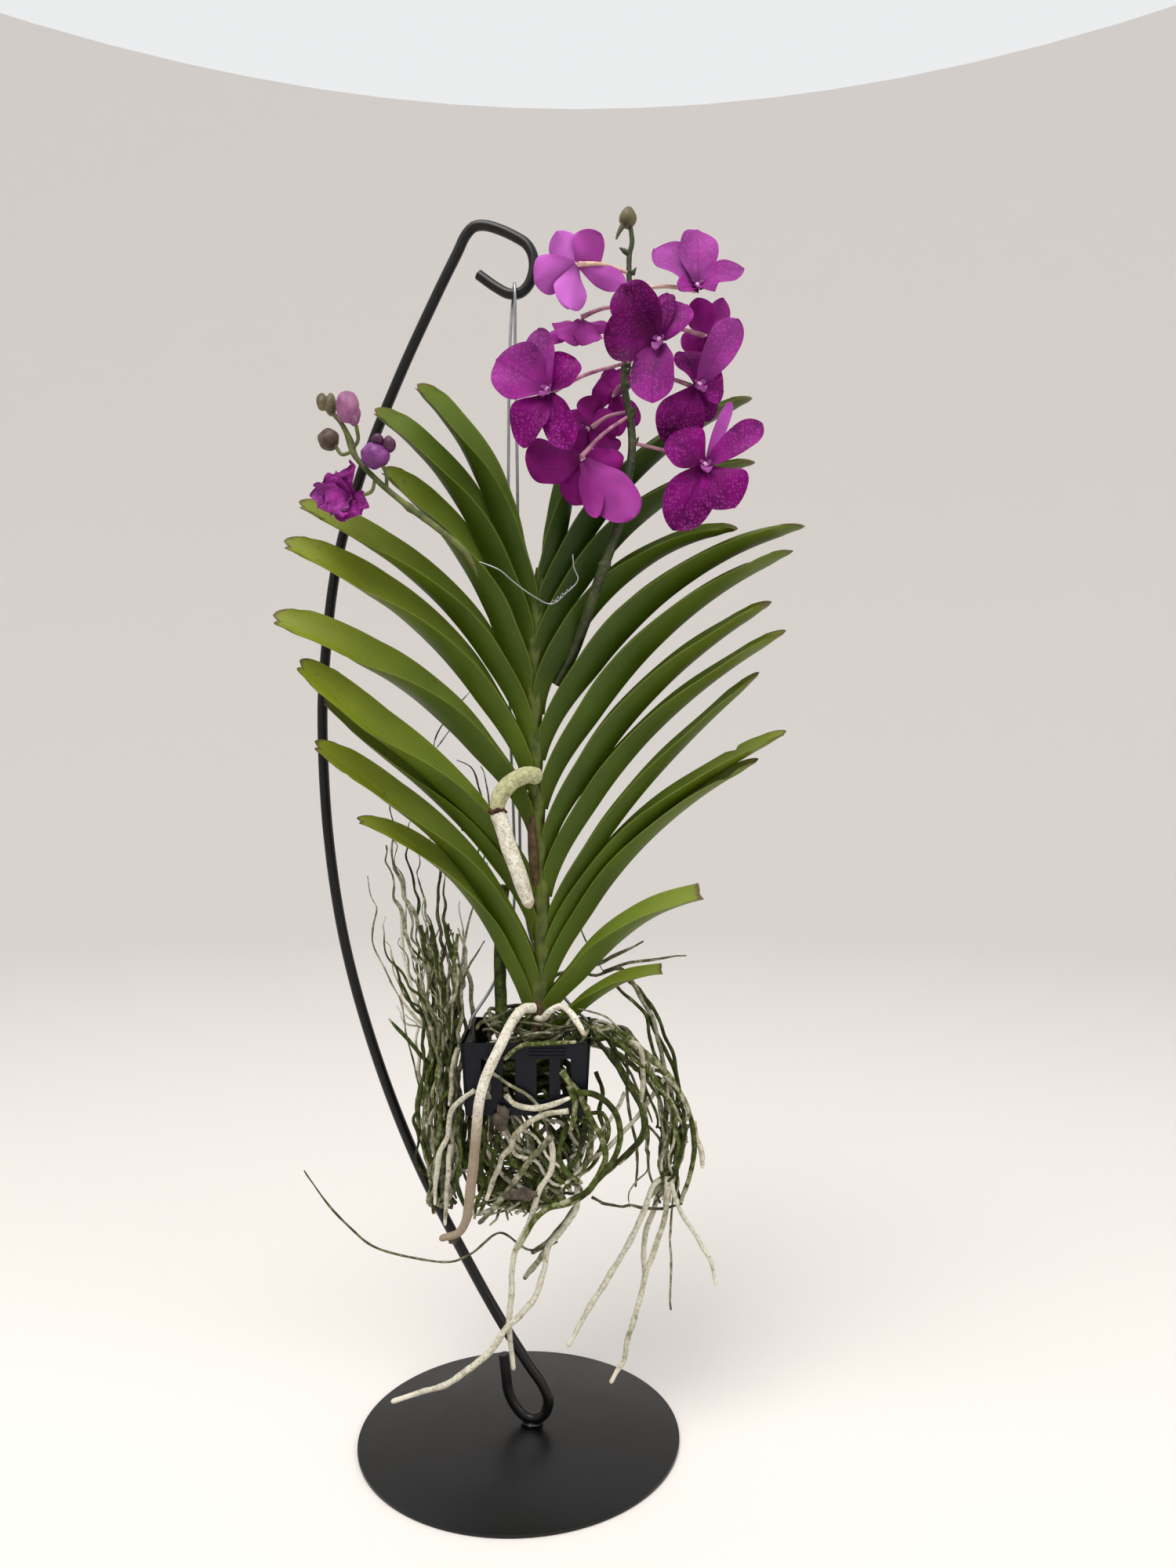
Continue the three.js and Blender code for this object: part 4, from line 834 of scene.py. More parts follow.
# Blooms: each has three sepals and two petals, broad, flat and clawed, thin but stiff, round a
# short pale column, with a small ridged lip hanging forward of it.
def petal_skin():
    """Magenta-purple tepal: a net of deeper colour round paler spots 2.5 mm apart in front,
    a paler pink-violet back, deep towards the claw, and a velvety matt surface."""
    material, tree, shader = new_surface("vanda_tepal", Roughness=0.55, IOR=1.38, Subsurface_Weight=0.12,
                                         Subsurface_Radius=(0.9, 0.2, 0.8), Subsurface_Scale=0.0015,
                                         Specular_IOR_Level=0.12)
    place = add_node(tree, "ShaderNodeTexCoord").outputs["Object"]
    across, along, inner, hue = (add_node(tree, "ShaderNodeAttribute", attribute_name=n).outputs["Fac"]
                                 for n in ("across", "along", "inner", "hue"))
    patches = add_node(tree, "ShaderNodeTexNoise", {"Scale": 45.0, "Detail": 4.0}, {"Vector": place})
    mottled = add_node(tree, "ShaderNodeMapRange", {"From Min": 0.3, "From Max": 0.7},
                       {"Value": patches.outputs[0]}).outputs[0]
    front = add_node(tree, "ShaderNodeMix", {6: linear("#45003c"), 7: linear("#850c78")}, {0: mottled},
                     data_type="RGBA").outputs[2]
    back = add_node(tree, "ShaderNodeMix", {6: linear("#6c045c"), 7: linear("#951f88")}, {0: mottled},
                    data_type="RGBA").outputs[2]
    cells = add_node(tree, "ShaderNodeTexVoronoi", {"Scale": 400.0, "Randomness": 0.7}, {"Vector": place})
    spot = add_node(tree, "ShaderNodeMapRange", {"From Min": 0.48, "From Max": 0.16, "To Max": 0.34},
                    {"Value": cells.outputs[0]}).outputs[0]
    zone = add_node(tree, "ShaderNodeMapRange", {"From Min": 0.15, "From Max": 0.6},
                    {"Value": along}).outputs[0]
    spots = add_node(tree, "ShaderNodeMath", links={0: spot, 1: zone}, operation="MULTIPLY").outputs[0]
    spotted = add_node(tree, "ShaderNodeMix", {7: linear("#b04fa8")}, {0: spots, 6: front},
                       data_type="RGBA").outputs[2]
    fans = add_node(tree, "ShaderNodeMath", {1: 34.0}, {0: across}, operation="MULTIPLY").outputs[0]
    veins = add_node(tree, "ShaderNodeMath", links={0: fans}, operation="SINE").outputs[0]
    vein_share = add_node(tree, "ShaderNodeMapRange", {"From Min": 0.5, "From Max": 1.0, "To Max": 0.3},
                          {"Value": veins}).outputs[0]
    veined_back = add_node(tree, "ShaderNodeMix", {7: linear("#5f0f4e")}, {0: vein_share, 6: back},
                           data_type="RGBA").outputs[2]
    # The midrib: a darker line, partly the tepal's own midrib colour, partly painted shade in its fold
    off_midrib = add_node(tree, "ShaderNodeMath", links={0: across}, operation="ABSOLUTE").outputs[0]
    groove = add_node(tree, "ShaderNodeMapRange", {"From Min": 0.1, "From Max": 0.0, "To Max": 0.45},
                      {"Value": off_midrib}).outputs[0]
    midrib_fold_shaded = add_node(tree, "ShaderNodeMix", {7: linear("#35002f")}, {0: groove, 6: spotted},
                       data_type="RGBA").outputs[2]
    faced = add_node(tree, "ShaderNodeMix", links={0: inner, 6: veined_back, 7: midrib_fold_shaded},
                     data_type="RGBA").outputs[2]
    # Painted light and shade: each tepal's hue value paints it paler where lit and darker where in shade
    paler = add_node(tree, "ShaderNodeMix", {7: linear("#c06cc8")}, {0: hue, 6: faced},
                     data_type="RGBA").outputs[2]
    shaded = add_node(tree, "ShaderNodeMath", {1: -1.0}, {0: hue}, operation="MULTIPLY").outputs[0]
    shaded_tepal = add_node(tree, "ShaderNodeMix", {7: linear("#22010f")}, {0: shaded, 6: paler},
                      data_type="RGBA").outputs[2]
    deep = add_node(tree, "ShaderNodeMapRange", {"From Min": 0.3, "From Max": 0.05, "To Max": 0.5},
                    {"Value": along}).outputs[0]
    throat = add_node(tree, "ShaderNodeMix", {7: linear("#3a0330")}, {0: deep, 6: shaded_tepal},
                      data_type="RGBA").outputs[2]
    bump = add_node(tree, "ShaderNodeBump", {"Strength": 0.25, "Distance": 0.0004},
                    {"Height": patches.outputs[0]})
    tree.links.new(throat, shader.inputs["Base Color"])
    tree.links.new(bump.outputs[0], shader.inputs["Normal"])
    return material


TEPAL_RINGS = 20
TEPAL_ACROSS = 6


def tepal_width(station):
    """Narrow at the claw, widest past the middle, round at the tip."""
    if station < 0.6:
        return max(0.14, smoothstep(station, -0.2, 0.55))
    return max(0.04, max(0, 1 - ((station - 0.6) / 0.4) ** 2.2) ** 0.62)


def tepal_mesh(centre, facing, reach, width, seed, crumple=0.0, cup=0.0, thick=0.7):
    """One closed tepal, folded a little along its midrib, its margin gently ruffled."""
    length = reach.length
    along = reach.normalized()
    face = (facing - along * facing.dot(along)).normalized()
    sideways = along.cross(face)
    vertices, values = [], {"across": [], "along": [], "inner": []}
    for i in range(TEPAL_RINGS + 1):
        station = 0.04 + 0.96 * math.sin(math.pi / 2 * i / TEPAL_RINGS) ** 1.15
        arch = 0.09 * length * math.sin(math.pi * station) - cup * length * station ** 2
        half = tepal_width(station) * width / 2 * (1 + 0.05 * math.sin(7 * station + seed * 1.9))
        ring = []
        for inner in (0, 1):
            order = range(-TEPAL_ACROSS, TEPAL_ACROSS + 1)
            for k in order if not inner else reversed(order):
                t = k / TEPAL_ACROSS
                lift = 0.26 * half * abs(t) ** 1.6
                ruffle = 0.07 * width * t * t * math.sin(station * 9 + seed * 2.3 + (2 if t > 0 else 0))
                ruffle += 0.03 * width * noise.noise(Vector((station * 3, t * 1.5, seed * 1.7)))
                spot = centre + along * (station * length) + face * (arch + lift + ruffle)
                spot += sideways * (half * t)
                if crumple:
                    rough = noise.noise_vector(spot * 0.16 + Vector((seed, 0, 0)))
                    spot += rough * crumple * station
                skin = thick * (1 - 0.6 * abs(t)) * (0.5 if inner else -0.5)
                vertices.append((spot + face * skin) / 1000)
                values["across"].append(t)
                values["along"].append(station)
                values["inner"].append(float(inner))
    size = 2 * (2 * TEPAL_ACROSS + 1)
    faces = []
    for i in range(TEPAL_RINGS):
        for j in range(size):
            a, b = i * size + j, i * size + (j + 1) % size
            faces.append((a, a + size, b + size, b))
    last = TEPAL_RINGS * size
    for j in range(size // 2 - 1):
        faces.append((j, j + 1, size - 2 - j, size - 1 - j))
        faces.append((last + j + 1, last + j, last + size - 1 - j, last + size - 2 - j))
    return vertices, faces, values


def bloom_piece(name, centre, facing, tepals, tepal_light, seed, crumple=0.0):
    """Tepals and lip as one mesh; each tepal is where its tip lies from the centre, and its width."""
    middle, front = Vector(centre), Vector(facing).normalized()
    vertices, faces, slots = [], [], []
    values = {"across": [], "along": [], "inner": [], "hue": []}

    def join(part, slot, hue):
        points, polygons, numbers = part
        start = len(vertices)
        vertices.extend(points)
        faces.extend(tuple(start + i for i in polygon) for polygon in polygons)
        slots.extend([slot] * len(polygons))
        for key, series in numbers.items():
            values[key].extend(series)
        values["hue"].extend([hue] * len(points))

    # Each tepal's listed value is painted light: paler where lit, darker where in shade
    for k, (*reach, width) in enumerate(tepals):
        cup = 0.07 * math.sin(1.3 * seed + 2 * k)
        tepal = tepal_mesh(middle, front, Vector(reach), width, seed + k, crumple, cup)
        join(tepal, 0, tepal_light[k] if k < len(tepal_light) else 0.0)
    down = Vector((0, 0, -1))
    side = front.cross(down).normalized()
    lip = front * 11 + down * 7
    join(tepal_mesh(middle, -down, lip, 9, seed, crumple, 0.1, 1.6), 1, 0.0)
    for way in (-1, 1):
        lobe = front * 5.5 - down * 2 + side * (4.5 * way)
        join(tepal_mesh(middle, side * -way, lobe, 5, seed, crumple, 0.0, 0.8), 1, 0.3)
    made = mesh_object(name, vertices, faces, [tepal_skin, lip_skin])
    made.data.polygons.foreach_set("material_index", slots)
    outward(made)
    keep_values(made, values)
    made.data.set_sharp_from_angle(angle=math.radians(65))
    return made


tepal_skin = petal_skin()
lip_skin = plant_skin("ridged_lip", "#4a0750", "#8a1f86", 0.5, 300, 0.2, specks="#d9a3cf")
column_skin = plant_skin("waxy_column", "#a868a2", "#dcb6d2", 0.4, 400, 0.1)
BLOOMS = [
    # name, centre, facing, pedicel foot, tepals, painted light of each tepal (paler lit, darker shaded)
    ("01", (46, -44, 898), (-0.35, 0.85, 0.35), 897, [(-15, -4, 23, 26), (-33, -4, -14, 28),
     (-5, -6, -35, 26), (18, 0, 22, 28), (36, 4, -14, 18)], [0.75, 0.6, 0.8, 0.3, 0.45]),
    ("02", (48, -26, 864), (-0.2, 0.8, -0.5), 872, [(-36, -6, -20, 15), (-13, -12, -20, 20),
     (13, -10, -19, 24), (25, 8, -2, 14), (-22, 12, 2, 14)], [0.1, 0.15, 0.15, 0.1, 0.1]),
    ("03", (136, -30, 886), (0.1, -0.9, 0.35), 884, [(-31, 6, 34, 30), (1, 12, 48, 30),
     (36, 2, 17, 20), (12, -18, -8, 20), (-15, -14, -8, 18)], [0.3, 0.25, 0.2, 0.1, 0.1]),
    ("04", (107, -56, 836), (-0.35, -0.85, -0.15), 827, [(-28, 2, 42, 36), (-42, -2, 4, 38),
     (6, 8, 40, 18), (20, 4, 28, 26), (-6, -4, -48, 36)], [-0.35, -0.5, 0, 0.05, 0.1]),
    ("05", (136, -40, 808), (0.25, -0.95, 0.1), 822, [(28, 0, 50, 26), (-24, 6, -40, 36),
     (20, 4, -2, 28), (8, 8, -24, 20), (-12, 8, 30, 22)], [0.15, -0.2, 0, 0, -0.2]),
    ("06", (144, -10, 858), (0.3, 0.8, 0.2), 858, [(15, 0, 29, 20), (-6, -2, 28, 24),
     (19, 2, 8, 18), (-17, 2, -9, 20), (6, 6, -22, 16)], [0.15, 0, 0.15, 0, 0]),
    ("07", (25, -58, 798), (-0.4, -0.88, 0.15), 829, [(-40, 4, 26, 42), (-8, 4, 47, 26),
     (21, -2, 22, 32), (-22, 4, -38, 32), (16, -8, -45, 26)], [0.1, 0.15, -0.1, -0.1, 0]),
    ("08", (49, -46, 753), (0.15, 0.7, -0.1), 789, [(-42, -4, -1, 38), (-6, 6, -34, 30),
     (11, -3, -46, 17), (39, -8, -47, 36), (32, 8, 2, 24)], [-0.4, -0.3, 0.1, 0.2, -0.1]),
    ("09", (74, -17, 810), (-0.1, 1, 0.1), 812, [(-17, 2, 5, 30), (3, 4, -31, 17),
     (18, 6, -22, 20), (10, 6, 22, 18), (-4, 6, 24, 16)], []),
    ("10", (140, -50, 745), (0.1, -0.95, 0.15), 768, [(-27, 2, 22, 34), (21, 6, 52, 10),
     (44, 4, 33, 21), (21, -2, -32, 38), (-23, -2, -47, 38)], [-0.1, 0.3, 0.05, 0, -0.1]),
    ("11", (55, -27, 781), (-0.6, 0.75, 0), 792, [(22, 2, 6, 26), (22, 2, -16, 24),
     (-8, 4, -28, 26), (-18, 2, 14, 28), (6, 2, 24, 26)], [-0.3, -0.3, -0.3, -0.2, -0.3]),
]
for number, (name, centre, facing, _, tepals, tepal_light) in enumerate(BLOOMS):
    bloom = bloom_piece("vanda_bloom_" + name, centre, facing, tepals, tepal_light, number)
    fit(bloom, "bloom", "bloom_" + name)
    front = Vector(facing).normalized()
    column = lumpy_ball("column_" + name, Vector(centre) + front * 2.3, (2.3, 2.3, 3), column_skin,
                        lump=0.2, scale=0.4, seed=number, across=14, high=10)
    fit(column, "bloom")

# Main spike: a dark green stalk as thick as a pencil at its foot, with one swollen joint ring,
# thinning to its last bud. Ribbed pedicels, pink or cream, carry the blooms off it.
stalk_skin = plant_skin("flower_stalk", "#1b250b", "#38451a", 0.5, 70, 0.3, specks="#5b3f46")
pedicel_skin = plant_skin("purple_pedicel", "#7a3a66", "#b98a94", 0.5, 150, 0.3, specks="#8f5c7c")
cream_skin = plant_skin("cream_pedicel", "#b98f8c", "#dcc9a4", 0.5, 150, 0.3, specks="#a86a86")
SPIKE_FOOT, SPIKE_RISE = 566, 365
SPIKE_RADIUS, SPIKE_THINS = 4.6, 2.8
SPIKE_LINE = [
    (14, 0, 560), (28, -1, 588), (40, -4, 608), (48, -13, 626), (55, -27, 644), (63, -32, 668),
    (73, -33, 694), (81, -34, 723), (85, -34, 747), (87, -33, 765), (86, -32, 783),
    (81, -31, 813), (82, -31, 837), (85, -31, 867), (85, -31, 911), (87, -31, 920), (86, -31, 931),
]


def spike_axis(height):
    """The spike's middle at a height, straight between its given points."""
    for low, high in zip(SPIKE_LINE, SPIKE_LINE[1:]):
        if high[2] > height:
            return Vector(low).lerp(Vector(high), (height - low[2]) / (high[2] - low[2]))


stalk = [(*p, SPIKE_RADIUS - SPIKE_THINS * (p.z - SPIKE_FOOT) / SPIKE_RISE)
         for p in smooth_line(SPIKE_LINE[1:], 3)]
joint = [(66 + 0.35 * k, -32, 675 + k, 4.2 + 1.3 * math.exp(-(k / 1.6) ** 2)) for k in range(-4, 5)]
bracts = [[(*spike_axis(foot + 1), 2.6), (*(spike_axis(foot - 1) + Vector((3.2, -1, 1))), 2.2),
           (*(spike_axis(foot) + Vector((5, -1, 4))), 0.4)] for _, _, _, foot, _, _ in BLOOMS]
bracts.append([(84.5, -31, 912, 2.4), (81, -31, 914, 2), (77.5, -31, 916.5, 0.5)])
pieces = {"purple": [], "cream": []}
for name, centre, facing, foot, _, _ in BLOOMS:
    start = spike_axis(foot)
    behind = Vector(centre) - Vector(facing).normalized() * 2
    lift = start.lerp(behind, 0.55) + Vector((0, 0, 3))
    line = smooth_line([start, lift, behind], 2)
    last = len(line) - 1
    pieces["cream" if name in ("01", "03") else "purple"].append(
        [(*p, 1.35 + 0.7 * (k / last) ** 3) for k, p in enumerate(line)])
spike = grow("main_stalk", [stalk, joint] + bracts, stalk_skin, sides=14, lump=0.5, spacing=6)
fit(spike, "spike", "flower_spike")
for tint_name, skin in (("purple", pedicel_skin), ("cream", cream_skin)):
    fit(grow(tint_name + "_pedicels", pieces[tint_name], skin, sides=10, lump=0.5, spacing=4), "spike")


# Top bud: the spike's last bud, still shut, olive brown and a little flattened. Seams run up it
# where its sepals meet, and a short spur hangs from its foot.
def seamed(unit):
    """Draws the unit ball in along three seams and points its tip."""
    turn = math.atan2(unit.y, unit.x)
    groove = 1 - 0.09 * max(0, math.cos(3 * turn)) ** 6 * (1 - abs(unit.z) ** 3)
    narrow = 1 - 0.25 * max(0, unit.z) ** 2
    return Vector((unit.x * groove * narrow, unit.y * groove * narrow, unit.z))


olive_bud = plant_skin("olive_bud", "#3a3a1e", "#6e6548", 0.5, 80, 0.3, specks="#5a3c40")
top_bud = lumpy_ball("top_bud", (84, -31, 939.4), (6.8, 6.6, 8), olive_bud, lump=0.12, scale=0.15,
                     seed=1, across=30, high=18, squash=seamed)
fit(top_bud, "bud", "spike_top_bud")
SPUR = [(81, -31, 935), (77, -31, 928), (75, -31, 923)]
SPUR_RADIUS, SPUR_THINS = 2.5, 1.7
spur_line = smooth_line(SPUR, 1.5)
last = len(spur_line) - 1
spur_strand = [(*p, SPUR_RADIUS - SPUR_THINS * k / last) for k, p in enumerate(spur_line)]
spur = grow("bud_spur", [spur_strand], olive_bud, sides=12)
fit(spur, "bud")

# Second spike: a thinner green stalk leaning left with a brown dry bract and swollen joints, four
# buds at different stages and one wilted bloom hanging by a short stalk.
young_skin = plant_skin("young_stalk", "#3c4a22", "#6f7a3c", 0.5, 80, 0.3, specks="#6b4456")
SECOND_LINE = [
    (4, -2, 590), (-8, -2, 620), (-22, -12, 652), (-32, -27, 675), (-40, -37, 686),
    (-58, -39, 701), (-80, -41, 717), (-105, -42, 738), (-121, -42, 756), (-125, -42, 768),
    (-131, -42, 780), (-138, -42, 788),
]
SECOND_RADIUS, SECOND_THINS = 3.4, 1.6
# Swollen joints: where across, how much thicker, how long
JOINTS = [(-80, 1.1, 2.5), (-124, 0.9, 3)]
second_line = smooth_line(SECOND_LINE, 2.5)
last = len(second_line) - 1
second = []
for k, p in enumerate(second_line):
    radius = SECOND_RADIUS - SECOND_THINS * k / last
    radius += sum(rise * math.exp(-((p.x - x) / long) ** 2) for x, rise, long in JOINTS)
    second.append((*p, radius))
TWIG_RADIUS = 1.4
TWIGS = [
    [(-124, -43, 759), (-118, -45, 766), (-119, -46, 777)],
    [(-122, -42, 759), (-131, -41, 757), (-136, -40, 764)],
    [(-106, -42, 737), (-108, -43, 729), (-116, -44, 725)],
    [(-97, -42, 732), (-97, -46, 742), (-100, -48, 748)],
]
twig_strands = [[(*p, TWIG_RADIUS) for p in smooth_line(twig, 1.5)] for twig in TWIGS]
second_piece = grow("second_stalk", [second] + twig_strands, young_skin, sides=12, lump=0.5, spacing=5)
fit(second_piece, "spike", "second_spike")
violet_bud = plant_skin("violet_bud", "#6a3560", "#a2668f", 0.5, 60, 0.3, specks="#7a6a4a")
brown_bud = plant_skin("brown_bud", "#33291e", "#6a5848", 0.55, 60, 0.3, specks="#5c4458")
purple_bud = plant_skin("purple_bud", "#4c1452", "#86408c", 0.45, 60, 0.3, specks="#5c2450")
dusky_bud = plant_skin("dusky_bud", "#35142e", "#6a3560", 0.5, 60, 0.3, specks="#4a2a3a")
BUDS = [
    ("bud_green_left", (-145, -42, 796), (5, 6, 6.5), olive_bud, ()),
    ("bud_green_right", (-139, -42, 794), (5, 6, 8), olive_bud, ()),
    ("bud_brown_round", (-141, -39, 769), (8.5, 8, 8.5), brown_bud, ()),
    ("bud_violet_body", (-125, -49, 790), (9, 8, 12), violet_bud, ("bud_violet",)),
    ("bud_violet_side", (-120, -49, 784), (5, 5, 8), violet_bud, ()),
    ("bud_purple_body", (-104, -50, 754), (11, 9, 10), purple_bud, ("bud_purple",)),
    ("bud_purple_crest", (-102, -52, 765), (4.5, 5, 4.5), dusky_bud, ()),
    ("bud_purple_side", (-94, -50, 762), (5, 5, 6), dusky_bud, ()),
]
for number, (name, centre, radii, skin, nodes) in enumerate(BUDS):
    bud = lumpy_ball(name, centre, radii, skin, lump=0.18, scale=0.16, seed=number, across=30, high=18,
                     squash=seamed)
    fit(bud, "bud", *nodes)
WILTED = [(-30, -2, 2, 22), (-20, 2, 16, 22), (-3, 4, 28, 20), (-5, -5, -18, 28), (10, 2, -2, 20),
          (-17, -5, -9, 24)]
WILTED_PALE = [0.2, 0.1, 0.05, 0.1, 0.1, 0.15]
wilted = bloom_piece("wilted_tepals", (-122, -46, 722), (-0.5, -0.8, -0.2), WILTED, WILTED_PALE, 40,
                     crumple=5)
fit(wilted, "bloom", "wilted_bloom")


# Roots: aerial roots sheathed in velamen, a spongy skin that is silvery white where dry, green
# where it holds water, and grey-brown and wiry where it has died back on the oldest roots.
def root_skin(name, tones, tip_colour, white_share, tip_from=0.92):
    """Velamen: matt chalky skin. Patches of 3-8 mm of dry white flake over the wet green, and
    each root has its own share of them."""
    material, tree, shader = new_surface(name, Roughness=0.8, IOR=1.4, Specular_IOR_Level=0.3)
    place = add_node(tree, "ShaderNodeTexCoord").outputs["Object"]
    hue = add_node(tree, "ShaderNodeAttribute", attribute_name="hue").outputs["Fac"]
    along = add_node(tree, "ShaderNodeAttribute", attribute_name="along").outputs["Fac"]
    drift = add_node(tree, "ShaderNodeTexNoise", {"Scale": 26.0, "Detail": 3.0},
                     {"Vector": place}).outputs[0]
    flakes = add_node(tree, "ShaderNodeTexNoise", {"Scale": 170.0, "Detail": 5.0, "Roughness": 0.65},
                      {"Vector": place}).outputs[0]
    sharp = add_node(tree, "ShaderNodeMapRange", {"From Min": 0.36, "From Max": 0.62, "To Max": 0.55},
                     {"Value": flakes}).outputs[0]
    own = add_node(tree, "ShaderNodeMath", {1: 0.5}, {0: hue}, operation="MULTIPLY").outputs[0]
    broad = add_node(tree, "ShaderNodeMapRange", {"From Min": 0.3, "From Max": 0.7,
                                                  "To Min": white_share - 0.5, "To Max": white_share - 0.1},
                     {"Value": drift}).outputs[0]
    two = add_node(tree, "ShaderNodeMath", links={0: own, 1: sharp}, operation="ADD").outputs[0]
    mixed = add_node(tree, "ShaderNodeMath", links={0: two, 1: broad}, operation="ADD").outputs[0]
    ramp = add_node(tree, "ShaderNodeValToRGB", links={0: mixed})
    ramp.color_ramp.elements[0].color = linear(tones[0])
    ramp.color_ramp.elements[1].color = linear(tones[-1])
    for k, tone in enumerate(tones[1:-1], 1):
        ramp.color_ramp.elements.new(k / (len(tones) - 1)).color = linear(tone)
    fibre = add_node(tree, "ShaderNodeTexNoise", {"Scale": 650.0, "Detail": 3.0},
                     {"Vector": place}).outputs[0]
    dirt = add_node(tree, "ShaderNodeMapRange", {"From Min": 0.54, "From Max": 0.68, "To Max": 0.55},
                    {"Value": fibre}).outputs[0]
    dirty = add_node(tree, "ShaderNodeMix", {7: linear("#3a3626")}, {0: dirt, 6: ramp.outputs[0]},
                     data_type="RGBA").outputs[2]
    # The growing tip, from tip_from of the root's length on
    growing = add_node(tree, "ShaderNodeMapRange",
                       {"From Min": tip_from, "From Max": 0.3 + 0.7 * tip_from, "To Max": 0.85},
                       {"Value": along}).outputs[0]
    tipped = add_node(tree, "ShaderNodeMix", {7: linear(tip_colour)}, {0: growing, 6: dirty},
                      data_type="RGBA").outputs[2]
    rough = add_node(tree, "ShaderNodeMath", links={0: fibre, 1: flakes}, operation="ADD").outputs[0]
    bump = add_node(tree, "ShaderNodeBump", {"Strength": 0.8, "Distance": 0.0009}, {"Height": rough})
    tree.links.new(tipped, shader.inputs["Base Color"])
    tree.links.new(bump.outputs[0], shader.inputs["Normal"])
    return material


white_velamen = root_skin("dry_white_velamen", ["#4f4c36", "#858168", "#b3af99", "#cfccbb"], "#dedac8", 0.55)
green_velamen = root_skin("wet_green_velamen", ["#1c2109", "#2f3a10", "#4c5822", "#a09f80"], "#a9a98a", 0.25)
grey_velamen = root_skin("old_grey_velamen", ["#2a2a1a", "#484a2f", "#727358", "#aeac96"], "#57543f", 0.35)


def seeded(seed):
    """Draws between 0 and 1 from one seed, the same on every run."""
    state = [seed]

    def draw():
        state[0] = (state[0] * 1103515245 + 12345) % 2147483648
        return state[0] / 2147483648

    return draw


def wandering(points, radius, sway=1.5, step=4.0, seed=0, tip=0.45, knob=0.12):
    """A root through the given points: it sways a little, swells and thins, and tapers to its tip."""
    line = smooth_line(points, step)
    last = max(1, len(line) - 1)
    root = []
    for k, spot in enumerate(line):
        hold = min(1, k / 3, (last - k) / 3 + 0.3)
        shift = noise.noise_vector(spot * 0.055 + Vector((seed * 3.7, seed * 1.3, 0))) * sway * hold
        thick = radius * (1 + knob * noise.noise(spot * 0.12 + Vector((0, 0, seed * 5.1))))
        thick *= 1 - (1 - tip) * smoothstep(k / last, 0.75, 1)
        root.append((*(spot + shift), thick))
    end, before = Vector(root[-1][:3]), Vector(root[-2][:3])
    ahead = (end - before).normalized()
    for far, share in ((0.6, 0.75), (1.0, 0.3)):
        root.append((*(end + ahead * radius * tip * far), root[-1][3] * share))
    return root


FRAME_MIDDLE = (750, 1000)


def seen(line, depth):
    """Where a line drawn in the 1500 x 2000 frame lies, in millimetres. depth is how far behind the
    plate's centre: one number, or that of the first and of the last point."""
    near, far = depth if isinstance(depth, tuple) else (depth, depth)
    last = max(1, len(line) - 1)
    points = []
    for k, (across, down) in enumerate(line):
        y = near + (far - near) * k / last
        scale = (y - 1000 * EYE.y) / FOCAL_PX
        points.append((1000 * EYE.x + (across - FRAME_MIDDLE[0]) * scale, y,
                       1000 * EYE.z - (down - FRAME_MIDDLE[1]) * scale))
    return points


# Single thick roots: one leaves the stem between the leaves, cream above a brown crack and white
# below it, a white one crosses the basket's front, one lies over the rim, and a smooth green one
# runs down behind the stem.
cream_velamen = root_skin("cream_velamen", ["#7d7c55", "#9c9b73", "#b5b58c", "#c6c6a6"], "#b9b68c", 0.55)
BRIGHT_TONES = ["#7c7460", "#a8a28e", "#cfcbb9", "#e2dfd2"]
bright_velamen = root_skin("bright_velamen", BRIGHT_TONES, "#b5a48e", 0.7)
browned_velamen = root_skin("browned_velamen", BRIGHT_TONES, "#84715c", 0.7, tip_from=0.4)
mid_root = [(14, -18, 516), (7, -25, 517), (-5, -28, 511), (-13, -29, 501), (-15.5, -29, 491)]
mid_root_low = [(-15, -29, 488), (-12, -29, 480), (-7, -29, 464), (0.5, -29, 443), (8, -26, 420)]
front_root = [(12, -14, 337), (4, -20, 337), (-3, -31, 331), (-11, -47, 317), (-20, -51, 298),
              (-26, -53, 279), (-29, -54, 255), (-31, -52, 230), (-34, -50, 205), (-37, -48, 185),
              (-43, -46, 176), (-55, -44, 171)]
short_root = [(14, -14, 329), (19, -22, 330), (25, -25, 337), (33, -27, 341), (40, -31, 337),
              (46, -38, 330), (50, -45, 324)]
strap_root = [(-13, 6, 430), (-15, 6, 404), (-16, 6, 367), (-15, 4, 336), (-11, 4, 308), (-4, 5, 296)]
long_root = [(30, -13, 156), (22, -13, 152), (8, -14, 150), (-14, -14, 163), (-37, -14, 147),
             (-52, -15, 141), (-86, -16, 146), (-110, -17, 153), (-133, -18, 172), (-151, -20, 194),
             (-164, -20, 213)]
for name, line, radius, skin, slot, node_name, tip in (
    ("mid_stem_root", mid_root, 6.6, cream_velamen, "root_white", "root_mid_stem", 0.86),
    ("mid_stem_root_low", mid_root_low, 6.2, bright_velamen, "root_white", "", 0.8),
    ("front_root", front_root, 3.9, browned_velamen, "root_white", "root_front", 0.7),
    ("rim_root", short_root, 2.6, bright_velamen, "root_white", "root_right_short", 0.7),
    ("strap_root", strap_root, 4.8, green_velamen, "root_green", "root_back_strap", 1.0),
    ("long_left_root", long_root, 0.9, grey_velamen, "root_grey", "root_long_left", 0.6),
):
    knob = 0.05 if radius > 3 else 0.12
    strand = wandering(line, radius, sway=0.5, step=2.0, seed=len(name), tip=tip, knob=knob)
    root = grow(name, [strand], skin, sides=18, lump=0.6, spacing=8)
    fit(root, slot, *([node_name] if node_name else []))
crack_skin = plant_skin("cracked_velamen", "#1f120c", "#5d3a26", 0.9, 300, 0.8)
crack = lumpy_ball("root_crack", (-15.3, -29, 489.5), (6.6, 6.6, 3.2), crack_skin, lump=0.5, scale=0.5,
                   seed=2)
fit(crack, "root_white")

